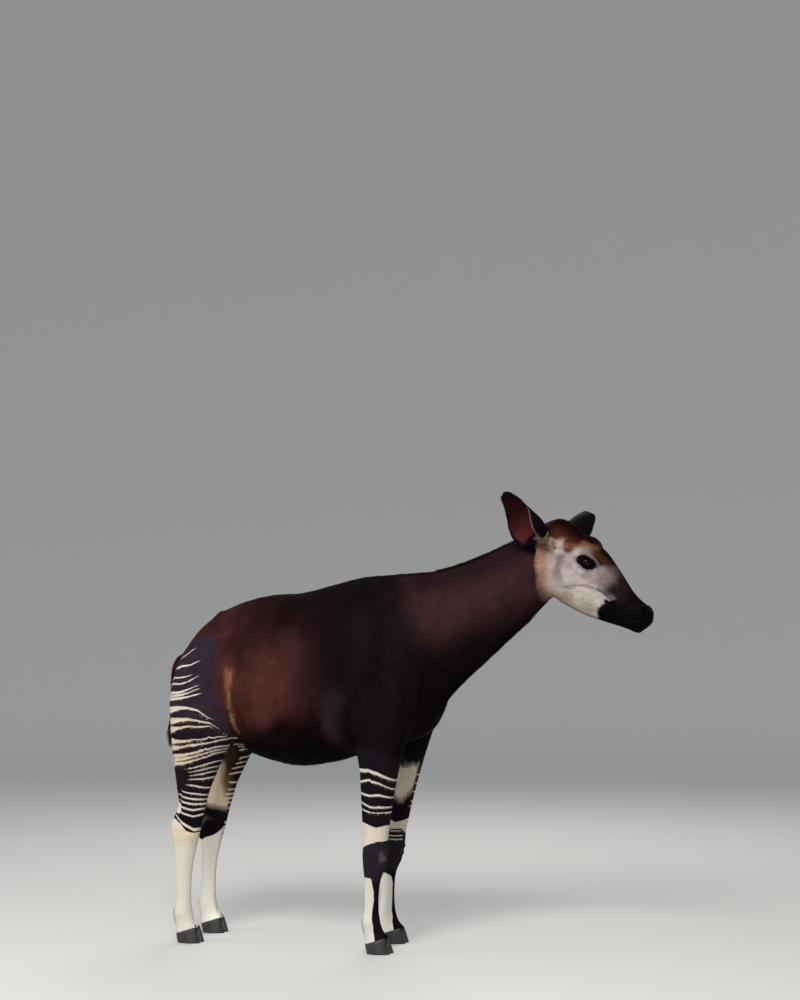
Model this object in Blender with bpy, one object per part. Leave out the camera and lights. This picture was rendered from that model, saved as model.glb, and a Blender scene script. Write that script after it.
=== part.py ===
"""A standing okapi, life size, as a still museum model.

The animal faces +X with +Z up, and its right side is towards -Y. The origin is on the floor under
the middle of its bounding box. Soft masses are lofted through a few named sections, fused, softened
and parted into head, neck, torso, tail and legs by thin plane cuts. All sizes are in metres.
"""

import math
from collections import namedtuple

import bmesh
import bpy
import numpy as np
from mathutils import Matrix, Vector

# Driving sizes of the animal
WITHERS_HEIGHT = 1.500
CROUP_HEIGHT = 1.424
BELLY_HEIGHT = 0.716
RUMP_X = -1.040
CHEST_X = 0.165

# The body is laid out from the withers, then moved along so that its box is centred on the origin
CENTRING = 0.040

FORE_STANCE = 0.135
HIND_STANCE = 0.138
FORE_SET_BACK = {-1: 0.0, 1: 0.033}
HIND_SET_BACK = {-1: 0.0, 1: 0.020}
SET_BACK_FROM = 0.80
KNEE_HEIGHT = 0.385
HOCK_HEIGHT = 0.462
FETLOCK_HEIGHT = 0.118

# The head hangs from the poll at its own slope and turns a little to the animal's right
HEAD_ORIGIN = Vector((0.560, 0.0, 1.600))
HEAD_SLOPE = math.radians(36.0)
HEAD_TURN = math.radians(-6.0)

# Joints between nodes. Each plane is a point and the way out of the part below or behind it
CUT_GAP = 0.0003
CUT_REACH = 3.0
HEAD_CUT = ((0.545, 0.0, 1.510), (0.964, 0.0, 0.265))
NECK_CUT = ((0.080, 0.0, 1.250), (0.930, 0.0, 0.370))
FORE_ROOF = ((-0.080, 0.0, 0.800), (0.280, 0.0, 0.960))
FORE_REAR = ((-0.245, 0.0, 0.700), (-1.0, 0.0, 0.0))
FORE_INSIDE = 0.066
HIND_ROOF = ((-0.850, 0.0, 0.900), (0.420, 0.0, 0.910))
HIND_FRONT = ((-0.690, 0.0, 0.700), (1.0, 0.0, 0.0))
HIND_INSIDE = 0.046

# How fine the softened masses are
BODY_VOXEL = 0.010
BODY_SOFTENING = 8
BODY_FACES = 4600
HEAD_VOXEL = 0.0055
HEAD_SOFTENING = 12
HEAD_FACES = 2400

# Feet
FORE_HOOF_X = -0.083
HIND_HOOF_X = -0.905
HOOF_LENGTH = 0.094
HOOF_WIDTH = 0.046
HOOF_CLEFT = 0.004
CORONET_FRONT = 0.070
CORONET_HEEL = 0.040
HOOF_SIDES = 16

# Eyes
EYE_RADIUS = 0.0225
EYE_ALONG = 0.198
EYE_ABOVE = 0.060
EYE_ASIDE = 0.0660
LID_THICKNESS = 0.0042
LID_OPENING = (0.0205, 0.0140)

# Ears
EAR_HALF_WIDTH = 0.078
EAR_WALL = 0.0050
EAR_SIDES = 9
EAR_RINGS = 13

# Tail
TAIL_LENGTH = 0.300
TAIL_LOCKS = 14
TAIL_LOCK_LENGTH = 0.115

SIDES = ((-1, "right"), (1, "left"))

COATS = {
    "chestnut": ((0.075, 0.028, 0.020), 0.62),
    "dark_brown": ((0.045, 0.022, 0.022), 0.62),
    "cream": ((0.62, 0.54, 0.45), 0.70),
    "striped": ((0.20, 0.16, 0.14), 0.68),
    "horn": ((0.030, 0.027, 0.026), 0.38),
    "eye": ((0.012, 0.009, 0.008), 0.06),
}

Ring = namedtuple("Ring", "crest keel half_width widest crest_pinch keel_pinch")
Slice = namedtuple("Slice", "height back front aside half_width")
EarPose = namedtuple("EarPose", "root tip opening")

# The right ear is swept back with its cup turned out, the left one is held out to the side
EARS = {
    -1: EarPose((0.576, -0.068, 1.628), (0.445, -0.180, 1.806), (-0.05, -0.84, -0.54)),
    1: EarPose((0.606, 0.070, 1.606), (0.685, 0.240, 1.745), (0.27, 0.54, -0.79)),
}


def clear_scene():
    """Removes every object of the startup scene."""
    for obj in list(bpy.data.objects):
        bpy.data.objects.remove(obj, do_unlink=True)


def coat_material(kind):
    """The plain material of one part of the coat, made once."""
    found = bpy.data.materials.get(kind)
    if found:
        return found
    colour, roughness = COATS[kind]
    material = bpy.data.materials.new(kind)
    material.use_nodes = True
    shader = material.node_tree.nodes["Principled BSDF"]
    shader.inputs["Base Color"].default_value = (*colour, 1.0)
    shader.inputs["Roughness"].default_value = roughness
    shader.inputs["Metallic"].default_value = 0.0
    return material


def new_object(name, bm, kind=None):
    """Turns a bmesh into an object of the scene, with its normals facing out."""
    bmesh.ops.recalc_face_normals(bm, faces=bm.faces)
    mesh = bpy.data.meshes.new(name)
    bm.to_mesh(mesh)
    bm.free()
    obj = bpy.data.objects.new(name, mesh)
    bpy.context.scene.collection.objects.link(obj)
    if kind:
        mesh.materials.append(coat_material(kind))
    return obj


def apply_modifiers(obj):
    """Replaces the object's mesh by its evaluated one, and drops the modifiers."""
    bpy.context.view_layer.update()
    graph = bpy.context.evaluated_depsgraph_get()
    evaluated = bpy.data.meshes.new_from_object(obj.evaluated_get(graph))
    obj.modifiers.clear()
    obj.data = evaluated


def remove(objects):
    """Deletes helper objects."""
    for obj in objects:
        bpy.data.objects.remove(obj, do_unlink=True)


def smooth_rows(rows, count):
    """Passes a smooth curve through the rows and returns count rows evenly spaced along it."""
    rows = np.asarray(rows, float)
    steps = np.linalg.norm(np.diff(rows, axis=0), axis=1)
    knots = np.concatenate([[0.0], np.cumsum(np.maximum(steps, 1e-6))])
    slopes = np.gradient(rows, knots, axis=0)
    at = np.linspace(0.0, knots[-1], count)
    k = np.clip(np.searchsorted(knots, at, side="right") - 1, 0, len(rows) - 2)
    width = (knots[k + 1] - knots[k])[:, None]
    t = ((at - knots[k])[:, None]) / width
    return (
        (2 * t**3 - 3 * t**2 + 1) * rows[k]
        + (t**3 - 2 * t**2 + t) * width * slopes[k]
        + (-2 * t**3 + 3 * t**2) * rows[k + 1]
        + (t**3 - t**2) * width * slopes[k + 1]
    )


def loft(name, rings, kind=None):
    """A closed tube through rings of points, with a centre point on each end cap."""
    bm = bmesh.new()
    loops = [[bm.verts.new(p) for p in ring] for ring in rings]
    sides = len(loops[0])
    for first, second in zip(loops, loops[1:]):
        for j in range(sides):
            k = (j + 1) % sides
            bm.faces.new((first[j], first[k], second[k], second[j]))
    for ring, loop in ((rings[0], loops[0]), (rings[-1], loops[-1])):
        centre = bm.verts.new(np.mean(np.asarray(ring, float), axis=0))
        for j in range(sides):
            bm.faces.new((loop[j], centre, loop[(j + 1) % sides]))
    return new_object(name, bm, kind)


def midline_loft(name, stations, count, sides, place=None):
    """A mass that straddles the midline, lofted through rings held by a crest and a keel point.

    Each ring is widest at its own share of the way up from keel to crest. A pinch above 1 narrows
    the ring towards its crest or its keel.
    """
    rows = [
        (*s.crest, *s.keel, s.half_width, s.widest, s.crest_pinch, s.keel_pinch)
        for s in stations
    ]
    rings = []
    turn = [2 * math.pi * j / sides for j in range(sides)]
    for cx, cz, kx, kz, half_width, widest, crest_pinch, keel_pinch in smooth_rows(rows, count):
        crest, keel = Vector((cx, 0, cz)), Vector((kx, 0, kz))
        middle = keel.lerp(crest, widest)
        ring = []
        for angle in turn:
            up, out = math.cos(angle), math.sin(angle)
            end, pinch = (crest, crest_pinch) if up > 0 else (keel, keel_pinch)
            point = middle.lerp(end, abs(up))
            point.y = half_width * math.copysign(abs(out) ** pinch, out)
            ring.append(place @ point if place else point)
        rings.append(ring)
    return loft(name, rings)


def leg_loft(name, slices, side, set_back, count, sides):
    """A leg lofted through level slices, each given by its back and front edge and half width.

    The foot stands back by set_back, and the shift fades out towards the top of the leg.
    """
    rings = []
    for height, back, front, aside, half_width in smooth_rows(slices, count):
        shift = -set_back * max(0.0, min(1.0, 1.6 * (1.0 - height / SET_BACK_FROM)))
        ring = []
        for j in range(sides):
            angle = 2 * math.pi * j / sides
            along, out = math.cos(angle), math.sin(angle)
            x = shift + (front + back) / 2 + (front - back) / 2 * along
            y = side * aside + half_width * math.copysign(abs(out) ** 0.9, out)
            ring.append(Vector((x, y, height)))
        rings.append(ring)
    return loft(name, rings)


def ellipsoid(name, centre, radii, turn=None, segments=20, rings=12):
    """A closed ellipsoid, turned about its own centre."""
    bm = bmesh.new()
    bmesh.ops.create_uvsphere(bm, u_segments=segments, v_segments=rings, radius=1.0)
    matrix = Matrix.Translation(centre) @ (turn or Matrix.Identity(4)) @ Matrix.Diagonal((*radii, 1))
    bmesh.ops.transform(bm, matrix=matrix, verts=bm.verts)
    return new_object(name, bm)


def fuse(name, pieces, kind=None, solver="MANIFOLD"):
    """Joins closed pieces into one by a Boolean union, and removes the pieces."""
    base = pieces[0]
    others = bpy.data.collections.new(name + "_pieces")
    bpy.context.scene.collection.children.link(others)
    for piece in pieces[1:]:
        bpy.context.scene.collection.objects.unlink(piece)
        others.objects.link(piece)
    union = base.modifiers.new("union", "BOOLEAN")
    union.operation = "UNION"
    union.solver = solver
    union.operand_type = "COLLECTION"
    union.collection = others
    apply_modifiers(base)
    remove(list(others.objects))
    bpy.data.collections.remove(others)
    base.name = base.data.name = name
    if kind:
        base.data.materials.clear()
        base.data.materials.append(coat_material(kind))
    return base


def carve(obj, cutters, operation="DIFFERENCE", solver="MANIFOLD"):
    """Cuts the cutters from the object in turn, and removes them."""
    for index, cutter in enumerate(cutters):
        step = obj.modifiers.new(f"cut_{index}", "BOOLEAN")
        step.operation = operation
        step.solver = solver
        step.object = cutter
    apply_modifiers(obj)
    remove(cutters)
    return obj


def soften(obj, voxel, passes, faces):
    """Rebuilds the surface evenly, rounds its inner corners and thins it to about so many faces."""
    rebuild = obj.modifiers.new("rebuild", "REMESH")
    rebuild.mode = "VOXEL"
    rebuild.voxel_size = voxel
    ease = obj.modifiers.new("ease", "SMOOTH")
    ease.factor = 0.5
    ease.iterations = passes
    apply_modifiers(obj)
    bm = bmesh.new()
    bm.from_mesh(obj.data)
    bmesh.ops.triangulate(bm, faces=bm.faces)
    have = len(bm.faces)
    bm.to_mesh(obj.data)
    bm.free()
    thin = obj.modifiers.new("thin", "DECIMATE")
    thin.ratio = min(1.0, faces / have)
    apply_modifiers(obj)
    return obj


def keep_largest(obj):
    """Keeps only the object's largest closed surface."""
    bm = bmesh.new()
    bm.from_mesh(obj.data)
    left = set(bm.verts)
    shells = []
    while left:
        grow = [left.pop()]
        shell = set(grow)
        while grow:
            for edge in grow.pop().link_edges:
                for vert in edge.verts:
                    if vert in left:
                        left.discard(vert)
                        shell.add(vert)
                        grow.append(vert)
        shells.append(shell)
    largest = max(shells, key=len)
    loose = [v for shell in shells if shell is not largest for v in shell]
    bmesh.ops.delete(bm, geom=loose, context="VERTS")
    bm.to_mesh(obj.data)
    bm.free()


def half_space(name, point, normal):
    """A large block that fills the side of a plane that its normal points away from."""
    bm = bmesh.new()
    bmesh.ops.create_cube(bm, size=CUT_REACH)
    turn = Vector(normal).to_track_quat("Z", "Y").to_matrix().to_4x4()
    down = Matrix.Translation((0, 0, -CUT_REACH / 2))
    matrix = Matrix.Translation(point) @ turn @ down
    bmesh.ops.transform(bm, matrix=matrix, verts=bm.verts)
    return new_object(name, bm)


def part_of(whole, name, kind, planes):
    """The part of a mass that lies behind every plane, each pulled in by half the cut gap."""
    obj = whole.copy()
    obj.data = whole.data.copy()
    bpy.context.scene.collection.objects.link(obj)
    keepers = []
    for index, (point, normal) in enumerate(planes):
        inward = Vector(point) - Vector(normal).normalized() * (CUT_GAP / 2)
        keepers.append(half_space(f"{name}_keep_{index}", inward, normal))
    carve(obj, keepers, operation="INTERSECT")
    keep_largest(obj)
    obj.name = obj.data.name = name
    obj.data.materials.clear()
    obj.data.materials.append(coat_material(kind))
    obj.data.shade_smooth()
    return obj


def opposite(plane):
    """The same plane seen from its other side."""
    point, normal = plane
    return point, tuple(-n for n in normal)


def head_frame():
    """Placement of the head: along it, across it to the left, and up out of its forehead."""
    slope = Matrix.Rotation(HEAD_SLOPE, 4, "Y")
    turn = Matrix.Rotation(HEAD_TURN, 4, "Z")
    return Matrix.Translation(HEAD_ORIGIN) @ turn @ slope


def torso_mass():
    """Barrel, withers, croup and breast."""
    stations = [
        Ring((RUMP_X, 1.140), (RUMP_X + 0.005, 0.985), 0.040, 0.5, 1.0, 1.0),
        Ring((-0.995, 1.196), (-1.000, 0.900), 0.110, 0.5, 1.1, 1.0),
        Ring((-0.900, 1.304), (-0.900, 0.835), 0.172, 0.50, 1.25, 1.0),
        Ring((-0.770, 1.378), (-0.770, 0.790), 0.208, 0.48, 1.35, 1.0),
        Ring((-0.620, 1.414), (-0.620, 0.738), 0.234, 0.46, 1.30, 1.0),
        Ring((-0.480, CROUP_HEIGHT), (-0.480, BELLY_HEIGHT), 0.250, 0.44, 1.30, 1.0),
        Ring((-0.340, 1.457), (-0.340, 0.733), 0.242, 0.43, 1.40, 1.0),
        Ring((-0.200, 1.489), (-0.195, 0.772), 0.218, 0.43, 1.55, 1.0),
        Ring((-0.060, WITHERS_HEIGHT), (-0.050, 0.802), 0.184, 0.42, 1.60, 1.0),
        Ring((0.040, 1.490), (0.065, 0.850), 0.158, 0.42, 1.40, 1.0),
        Ring((0.105, 1.400), (CHEST_X - 0.035, 0.940), 0.122, 0.45, 1.10, 1.0),
        Ring((0.140, 1.250), (CHEST_X, 1.030), 0.060, 0.50, 1.00, 1.0),
    ]
    return midline_loft("torso_mass", stations, 40, 32)


def neck_mass():
    """Neck from inside the shoulders to inside the back of the head."""
    stations = [
        Ring((-0.180, 1.440), (-0.020, 0.960), 0.110, 0.45, 1.30, 1.0),
        Ring((-0.020, WITHERS_HEIGHT), (0.115, 0.960), 0.135, 0.42, 1.50, 1.0),
        Ring((0.110, 1.513), (0.205, 1.050), 0.118, 0.42, 1.45, 1.0),
        Ring((0.235, 1.546), (0.305, 1.140), 0.102, 0.44, 1.35, 1.0),
        Ring((0.360, 1.596), (0.405, 1.228), 0.091, 0.46, 1.25, 1.0),
        Ring((0.455, 1.634), (0.500, 1.312), 0.082, 0.48, 1.15, 1.0),
        Ring((0.530, 1.662), (0.575, 1.385), 0.072, 0.50, 1.10, 1.0),
        Ring((0.580, 1.660), (0.620, 1.450), 0.055, 0.50, 1.00, 1.0),
    ]
    return midline_loft("neck_mass", stations, 30, 28)


def fore_leg_mass(side):
    """Shoulder, forearm, knee, cannon and pastern of one foreleg."""
    knee, fetlock, stance = KNEE_HEIGHT, FETLOCK_HEIGHT, FORE_STANCE
    slices = [
        Slice(1.420, -0.140, -0.020, 0.040, 0.030),
        Slice(1.300, -0.205, 0.045, 0.082, 0.062),
        Slice(1.150, -0.232, 0.096, 0.116, 0.074),
        Slice(1.000, -0.232, 0.092, 0.134, 0.076),
        Slice(0.900, -0.218, 0.058, 0.142, 0.074),
        Slice(0.810, -0.188, 0.022, 0.146, 0.068),
        Slice(0.730, -0.170, 0.000, stance + 0.010, 0.061),
        Slice(0.620, -0.163, -0.024, stance + 0.008, 0.054),
        Slice(0.510, -0.160, -0.042, stance + 0.003, 0.046),
        Slice(knee + 0.055, -0.156, -0.052, stance, 0.043),
        Slice(knee, -0.160, -0.052, stance, 0.046),
        Slice(knee - 0.045, -0.158, -0.062, stance, 0.041),
        Slice(knee - 0.100, -0.153, -0.084, stance, 0.030),
        Slice(0.210, -0.152, -0.091, stance, 0.026),
        Slice(fetlock + 0.045, -0.154, -0.090, stance, 0.028),
        Slice(fetlock, -0.162, -0.084, stance, 0.037),
        Slice(fetlock - 0.038, -0.152, -0.070, stance, 0.038),
        Slice(0.050, -0.146, -0.048, stance, 0.048),
        Slice(0.010, -0.134, -0.030, stance, 0.050),
    ]
    return leg_loft(f"fore_leg_mass_{side}", slices, side, FORE_SET_BACK[side], 64, 20)


def hind_leg_mass(side):
    """Haunch, thigh, gaskin, hock, cannon and pastern of one hind leg."""
    hock, fetlock, stance = HOCK_HEIGHT, FETLOCK_HEIGHT, HIND_STANCE
    slices = [
        Slice(1.350, -0.830, -0.700, 0.040, 0.030),
        Slice(1.260, -0.895, -0.650, 0.086, 0.076),
        Slice(1.140, -0.972, -0.640, 0.118, 0.096),
        Slice(1.010, -1.008, -0.655, 0.132, 0.100),
        Slice(0.900, -1.003, -0.690, 0.136, 0.094),
        Slice(0.800, -0.995, -0.742, 0.138, 0.080),
        Slice(0.710, -0.984, -0.786, stance, 0.066),
        Slice(0.620, -0.972, -0.826, stance, 0.053),
        Slice(0.550, -0.966, -0.846, stance, 0.045),
        Slice(hock + 0.045, -0.986, -0.856, stance, 0.042),
        Slice(hock + 0.008, -1.002, -0.864, stance, 0.044),
        Slice(hock - 0.032, -0.999, -0.874, stance, 0.045),
        Slice(hock - 0.085, -0.988, -0.888, stance, 0.039),
        Slice(0.290, -0.980, -0.905, stance, 0.031),
        Slice(0.200, -0.978, -0.909, stance, 0.029),
        Slice(fetlock + 0.040, -0.977, -0.908, stance, 0.030),
        Slice(fetlock, -0.986, -0.902, stance, 0.038),
        Slice(fetlock - 0.038, -0.976, -0.890, stance, 0.038),
        Slice(0.050, -0.968, -0.870, stance, 0.048),
        Slice(0.010, -0.956, -0.852, stance, 0.050),
    ]
    return leg_loft(f"hind_leg_mass_{side}", slices, side, HIND_SET_BACK[side], 68, 20)


def head_masses():
    """Skull, muzzle and jaw, cheeks, brows, horn knobs and poll, in the head's own frame."""
    place = head_frame()
    skull = [
        Ring((-0.085, 0.030), (-0.060, -0.060), 0.040, 0.5, 1.0, 1.0),
        Ring((-0.047, 0.086), (-0.015, -0.092), 0.062, 0.60, 1.0, 1.0),
        Ring((-0.020, 0.118), (0.045, -0.112), 0.074, 0.62, 1.0, 1.0),
        Ring((0.012, 0.134), (0.085, -0.127), 0.080, 0.62, 1.0, 1.1),
        Ring((0.055, 0.138), (0.120, -0.136), 0.083, 0.62, 1.0, 1.2),
        Ring((0.100, 0.134), (0.155, -0.144), 0.084, 0.62, 1.0, 1.25),
        Ring((0.150, 0.133), (0.195, -0.142), 0.083, 0.62, 1.0, 1.3),
        Ring((0.205, 0.132), (0.240, -0.136), 0.077, 0.60, 1.05, 1.3),
        Ring((0.270, 0.116), (0.290, -0.126), 0.066, 0.56, 1.1, 1.2),
        Ring((0.335, 0.093), (0.345, -0.108), 0.055, 0.52, 1.1, 1.1),
        Ring((0.400, 0.067), (0.400, -0.088), 0.047, 0.50, 1.0, 1.0),
        Ring((0.440, 0.059), (0.440, -0.073), 0.044, 0.50, 0.9, 0.95),
        Ring((0.480, 0.055), (0.478, -0.060), 0.042, 0.52, 0.85, 0.95),
        Ring((0.508, 0.047), (0.504, -0.047), 0.036, 0.52, 0.85, 0.95),
        Ring((0.523, 0.031), (0.518, -0.033), 0.026, 0.52, 0.9, 1.0),
        Ring((0.530, 0.010), (0.526, -0.012), 0.012, 0.5, 1.0, 1.0),
    ]
    masses = [midline_loft("skull", skull, 44, 30, place)]
    for side in (-1, 1):
        masses += [
            placed_ellipsoid("cheek", place, (0.120, side * 0.040, -0.050), (0.105, 0.042, 0.085)),
            placed_ellipsoid("brow", place, (0.184, side * 0.055, 0.088), (0.064, 0.030, 0.022)),
            placed_ellipsoid("cheekbone", place, (0.215, side * 0.052, 0.022), (0.070, 0.022, 0.018)),
            placed_ellipsoid("horn_knob", place, (0.152, side * 0.028, 0.120), (0.044, 0.030, 0.022)),
            placed_ellipsoid("ear_root", place, (0.008, side * 0.050, 0.052), (0.046, 0.028, 0.046)),
            placed_ellipsoid("nostril_wing", place, (0.484, side * 0.024, 0.034), (0.030, 0.018, 0.020)),
            placed_ellipsoid("upper_lip", place, (0.448, side * 0.026, -0.004), (0.062, 0.020, 0.020)),
        ]
    masses.append(placed_ellipsoid("crown", place, (0.040, 0.0, 0.100), (0.066, 0.060, 0.036)))
    masses.append(placed_ellipsoid("chin", place, (0.474, 0.0, -0.042), (0.044, 0.030, 0.019)))
    return masses


def placed_ellipsoid(name, place, centre, radii):
    """An ellipsoid in the head's frame."""
    return ellipsoid(name, place @ Vector(centre), radii, place.to_quaternion().to_matrix().to_4x4())


def eye_centre(side):
    """Centre of one eyeball."""
    return head_frame() @ Vector((EYE_ALONG, side * EYE_ASIDE, EYE_ABOVE))


def eye_axes(side):
    """Frame of one eye: its X runs along the lids, and its Z looks out of the opening."""
    outward = Vector((0.30, side * 0.95, 0.10)).normalized()
    along = Vector((1.0, 0.0, -0.10))
    across = outward.cross(along).normalized()
    along = across.cross(outward)
    local = Matrix((along, across, outward)).transposed().to_4x4()
    rotation = head_frame().to_quaternion().to_matrix().to_4x4()
    return Matrix.Translation(eye_centre(side)) @ rotation @ local


def lid_opening(side):
    """An almond-shaped plug that opens the lids over the front of the eye."""
    bm = bmesh.new()
    half_long, half_high = LID_OPENING
    outline = []
    for j in range(20):
        angle = 2 * math.pi * j / 20
        x = half_long * math.cos(angle)
        y = half_high * math.sin(angle) * (1 - 0.35 * math.cos(angle) ** 2)
        outline.append((x, y))
    low, high = EYE_RADIUS * 0.25, EYE_RADIUS * 2.2
    loops = [[bm.verts.new((x, y, z)) for x, y in outline] for z in (low, high)]
    for j in range(20):
        k = (j + 1) % 20
        bm.faces.new((loops[0][j], loops[0][k], loops[1][k], loops[1][j]))
    bm.faces.new(loops[0])
    bm.faces.new(loops[1])
    bmesh.ops.transform(bm, matrix=eye_axes(side), verts=bm.verts)
    return new_object("lid_opening", bm)


def eyeball(name, side, radius, kind=None):
    """One eyeball, or with a wider radius the socket that holds it."""
    bm = bmesh.new()
    bmesh.ops.create_icosphere(bm, subdivisions=3, radius=radius)
    bmesh.ops.transform(bm, matrix=eye_axes(side), verts=bm.verts)
    return new_object(name, bm, kind)


def lip_line():
    """Centre line of the mouth, from the right corner round the front of the lips to the left."""
    half = [
        (0.345, 0.054, -0.019),
        (0.372, 0.050, -0.019),
        (0.410, 0.047, -0.024),
        (0.456, 0.043, -0.017),
        (0.492, 0.036, -0.003),
        (0.516, 0.022, 0.006),
    ]
    right = [(along, -aside, above) for along, aside, above in half]
    return [Vector(row) for row in smooth_rows(right + [(0.526, 0.0, 0.008)] + half[::-1], 31)]


def mouth_groove():
    """A narrow tube with a four-sided section that scores the line between the lips."""
    place = head_frame()
    high, deep = 0.0016, 0.0070
    points = lip_line()
    rings = []
    for before, here, after in zip(points[:1] + points, points, points[1:] + points[-1:]):
        tangent = (after - before).normalized()
        outward = Vector((tangent.y, -tangent.x, 0)).normalized()
        up = tangent.cross(outward).normalized()
        ring = [here + outward * deep, here + up * high, here - outward * deep, here - up * high]
        rings.append([place @ p for p in ring])
    return loft("mouth_groove", rings)


def nostril(side):
    """A slanting slot for one nostril."""
    place = head_frame()
    turn = place.to_quaternion().to_matrix().to_4x4() @ Matrix.Rotation(math.radians(35), 4, "Y")
    centre = place @ Vector((0.490, side * 0.034, 0.036))
    return ellipsoid("nostril", centre, (0.015, 0.011, 0.0042), turn, 14, 8)


def ear_frame(side):
    """Placement of one ear: its length along +X, its width along Y, its opening towards +Z."""
    root, tip, opening = (Vector(v) for v in EARS[side])
    along = (tip - root).normalized()
    out = (opening - along * opening.dot(along)).normalized()
    across = out.cross(along)
    return Matrix.Translation(root) @ Matrix((along, across, out)).transposed().to_4x4()


def ear(name, side):
    """One ear: a broad leaf rolled into a tube at its root and opening to a shallow cup.

    Each row of the outline gives the share of the length, the flat widths of the front and the
    rear half as shares of the named half width, and the angles through which they are rolled.
    """
    outline = [
        (0.00, 0.62, 0.62, 2.65, 2.65),
        (0.12, 0.80, 0.92, 2.10, 1.80),
        (0.30, 0.94, 1.18, 1.50, 1.20),
        (0.48, 0.94, 1.17, 1.15, 0.95),
        (0.66, 0.82, 1.00, 0.90, 0.80),
        (0.82, 0.63, 0.74, 0.75, 0.70),
        (0.93, 0.40, 0.46, 0.60, 0.60),
        (1.00, 0.08, 0.08, 0.50, 0.50),
    ]
    root, tip, _ = (Vector(v) for v in EARS[side])
    length = (tip - root).length
    place = ear_frame(side)
    rings = []
    for share, front, rear, front_roll, rear_roll in smooth_rows(outline, EAR_RINGS):
        outer, inner = [], []
        for j in range(EAR_SIDES):
            swing = 2 * j / (EAR_SIDES - 1) - 1
            width, roll = (front, front_roll) if swing * side > 0 else (rear, rear_roll)
            radius = EAR_HALF_WIDTH * width / roll
            solid_root = max(0.0, 1.0 - share / 0.18)
            wall = min(max(EAR_WALL * (1.0 - 0.4 * share), 0.9 * radius * solid_root), 0.9 * radius)
            rise = radius - 0.020 * (1.0 - share) - 0.016 * math.sin(math.pi * share)
            angle = roll * swing
            for line, r in ((outer, radius), (inner, radius - wall)):
                line.append(Vector((length * share, r * math.sin(angle), rise - r * math.cos(angle))))
        rings.append([place @ p for p in outer + inner[::-1]])
    return loft(name, rings, "dark_brown")


def ear_plug(side):
    """The fleshy root that carries the ear's tube on the head."""
    place = ear_frame(side)
    turn = place.to_quaternion().to_matrix().to_4x4()
    centre = place @ Vector((-0.004, 0.0, 0.0))
    return ellipsoid("ear_plug", centre, (0.036, 0.024, 0.024), turn, 16, 10)


def swollen(obj, by):
    """A copy of a closed mesh moved outwards along its normals."""
    bm = bmesh.new()
    bm.from_mesh(obj.data)
    bm.normal_update()
    moved = [(v, v.co + v.normal * by) for v in bm.verts]
    for vert, place in moved:
        vert.co = place
    return new_object("swollen", bm)


def hoof(name, centre_x, centre_y, side):
    """One half of a cloven hoof: flat sole, sloping wall and a coronet that falls to the heel."""
    rings = []
    for t in (0.0, 0.10, 0.5, 1.0):
        ring = []
        for j in range(HOOF_SIDES):
            angle = 2 * math.pi * j / HOOF_SIDES
            along, out = math.cos(angle), math.sin(angle)
            narrow = 1.0 - 0.42 * max(0.0, along) ** 1.5
            x = HOOF_LENGTH / 2 * along * (1.0 - 0.16 * t) - 0.016 * t
            y = HOOF_WIDTH / 2 * math.copysign(abs(out) ** 0.7, out) * narrow * (1.0 - 0.06 * t)
            if t == 0.0:
                x, y = x * 0.97, y * 0.95
            share = (x + HOOF_LENGTH / 2) / HOOF_LENGTH
            top = CORONET_HEEL + (CORONET_FRONT - CORONET_HEEL) * share
            toe_in = side * 0.006 * max(0.0, along) * (1 - t)
            ring.append((centre_x + x, centre_y + y - toe_in, (top - CUT_GAP) * t))
        rings.append(ring)
    return loft(name, rings, "horn")


def coronet_plane(sole_x):
    """The slanting plane where a foot ends and its hooves begin."""
    rise = CORONET_FRONT - CORONET_HEEL
    point = (sole_x, 0.0, CORONET_HEEL + rise * 0.5)
    return point, (-rise, 0.0, HOOF_LENGTH)


def tail_masses():
    """Dock of the tail, hanging close to the rump and thinning downwards."""
    rows = [
        (RUMP_X + 0.080, 1.185, 0.024),
        (RUMP_X + 0.012, 1.152, 0.024),
        (RUMP_X - 0.016, 1.090, 0.020),
        (RUMP_X - 0.020, 1.000, 0.016),
        (RUMP_X - 0.016, 1.140 - TAIL_LENGTH, 0.012),
    ]
    rings = []
    for x, z, radius in smooth_rows(rows, 10):
        angles = [2 * math.pi * j / 10 for j in range(10)]
        rings.append([(x + radius * math.cos(a), radius * 1.1 * math.sin(a), z) for a in angles])
    return loft("dock", rings)


def tail_lock(index):
    """One flat, tapered lock of the tail's tuft."""
    angle = 2 * math.pi * index / TAIL_LOCKS
    tier = index % 3
    length = TAIL_LOCK_LENGTH * (1.0 - 0.16 * tier)
    root = Vector((RUMP_X - 0.016, 0.0, 1.140 - TAIL_LENGTH + 0.018 + 0.016 * tier))
    out = Vector((math.cos(angle), math.sin(angle), 0))
    rings = []
    for i in range(6):
        t = i / 5
        centre = root + out * (0.004 + 0.016 * math.sin(math.pi * 0.62 * t)) - Vector((0, 0, length * t))
        wide, thick = 0.0075 * (1 - t) ** 0.6 + 0.0006, 0.0042 * (1 - t) ** 0.8 + 0.0005
        across = Vector((-out.y, out.x, 0))
        rings.append([
            centre + across * wide,
            centre + out * thick,
            centre - across * wide,
            centre - out * thick,
        ])
    return loft(f"lock_{index}", rings)


def leg_planes(side):
    """The planes that bound the foreleg and the hind leg of one side."""
    fore_inside = ((0.0, side * FORE_INSIDE, 0.0), (0.0, -side, 0.0))
    hind_inside = ((0.0, side * HIND_INSIDE, 0.0), (0.0, -side, 0.0))
    return [FORE_ROOF, FORE_REAR, fore_inside], [HIND_ROOF, HIND_FRONT, hind_inside]


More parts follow.
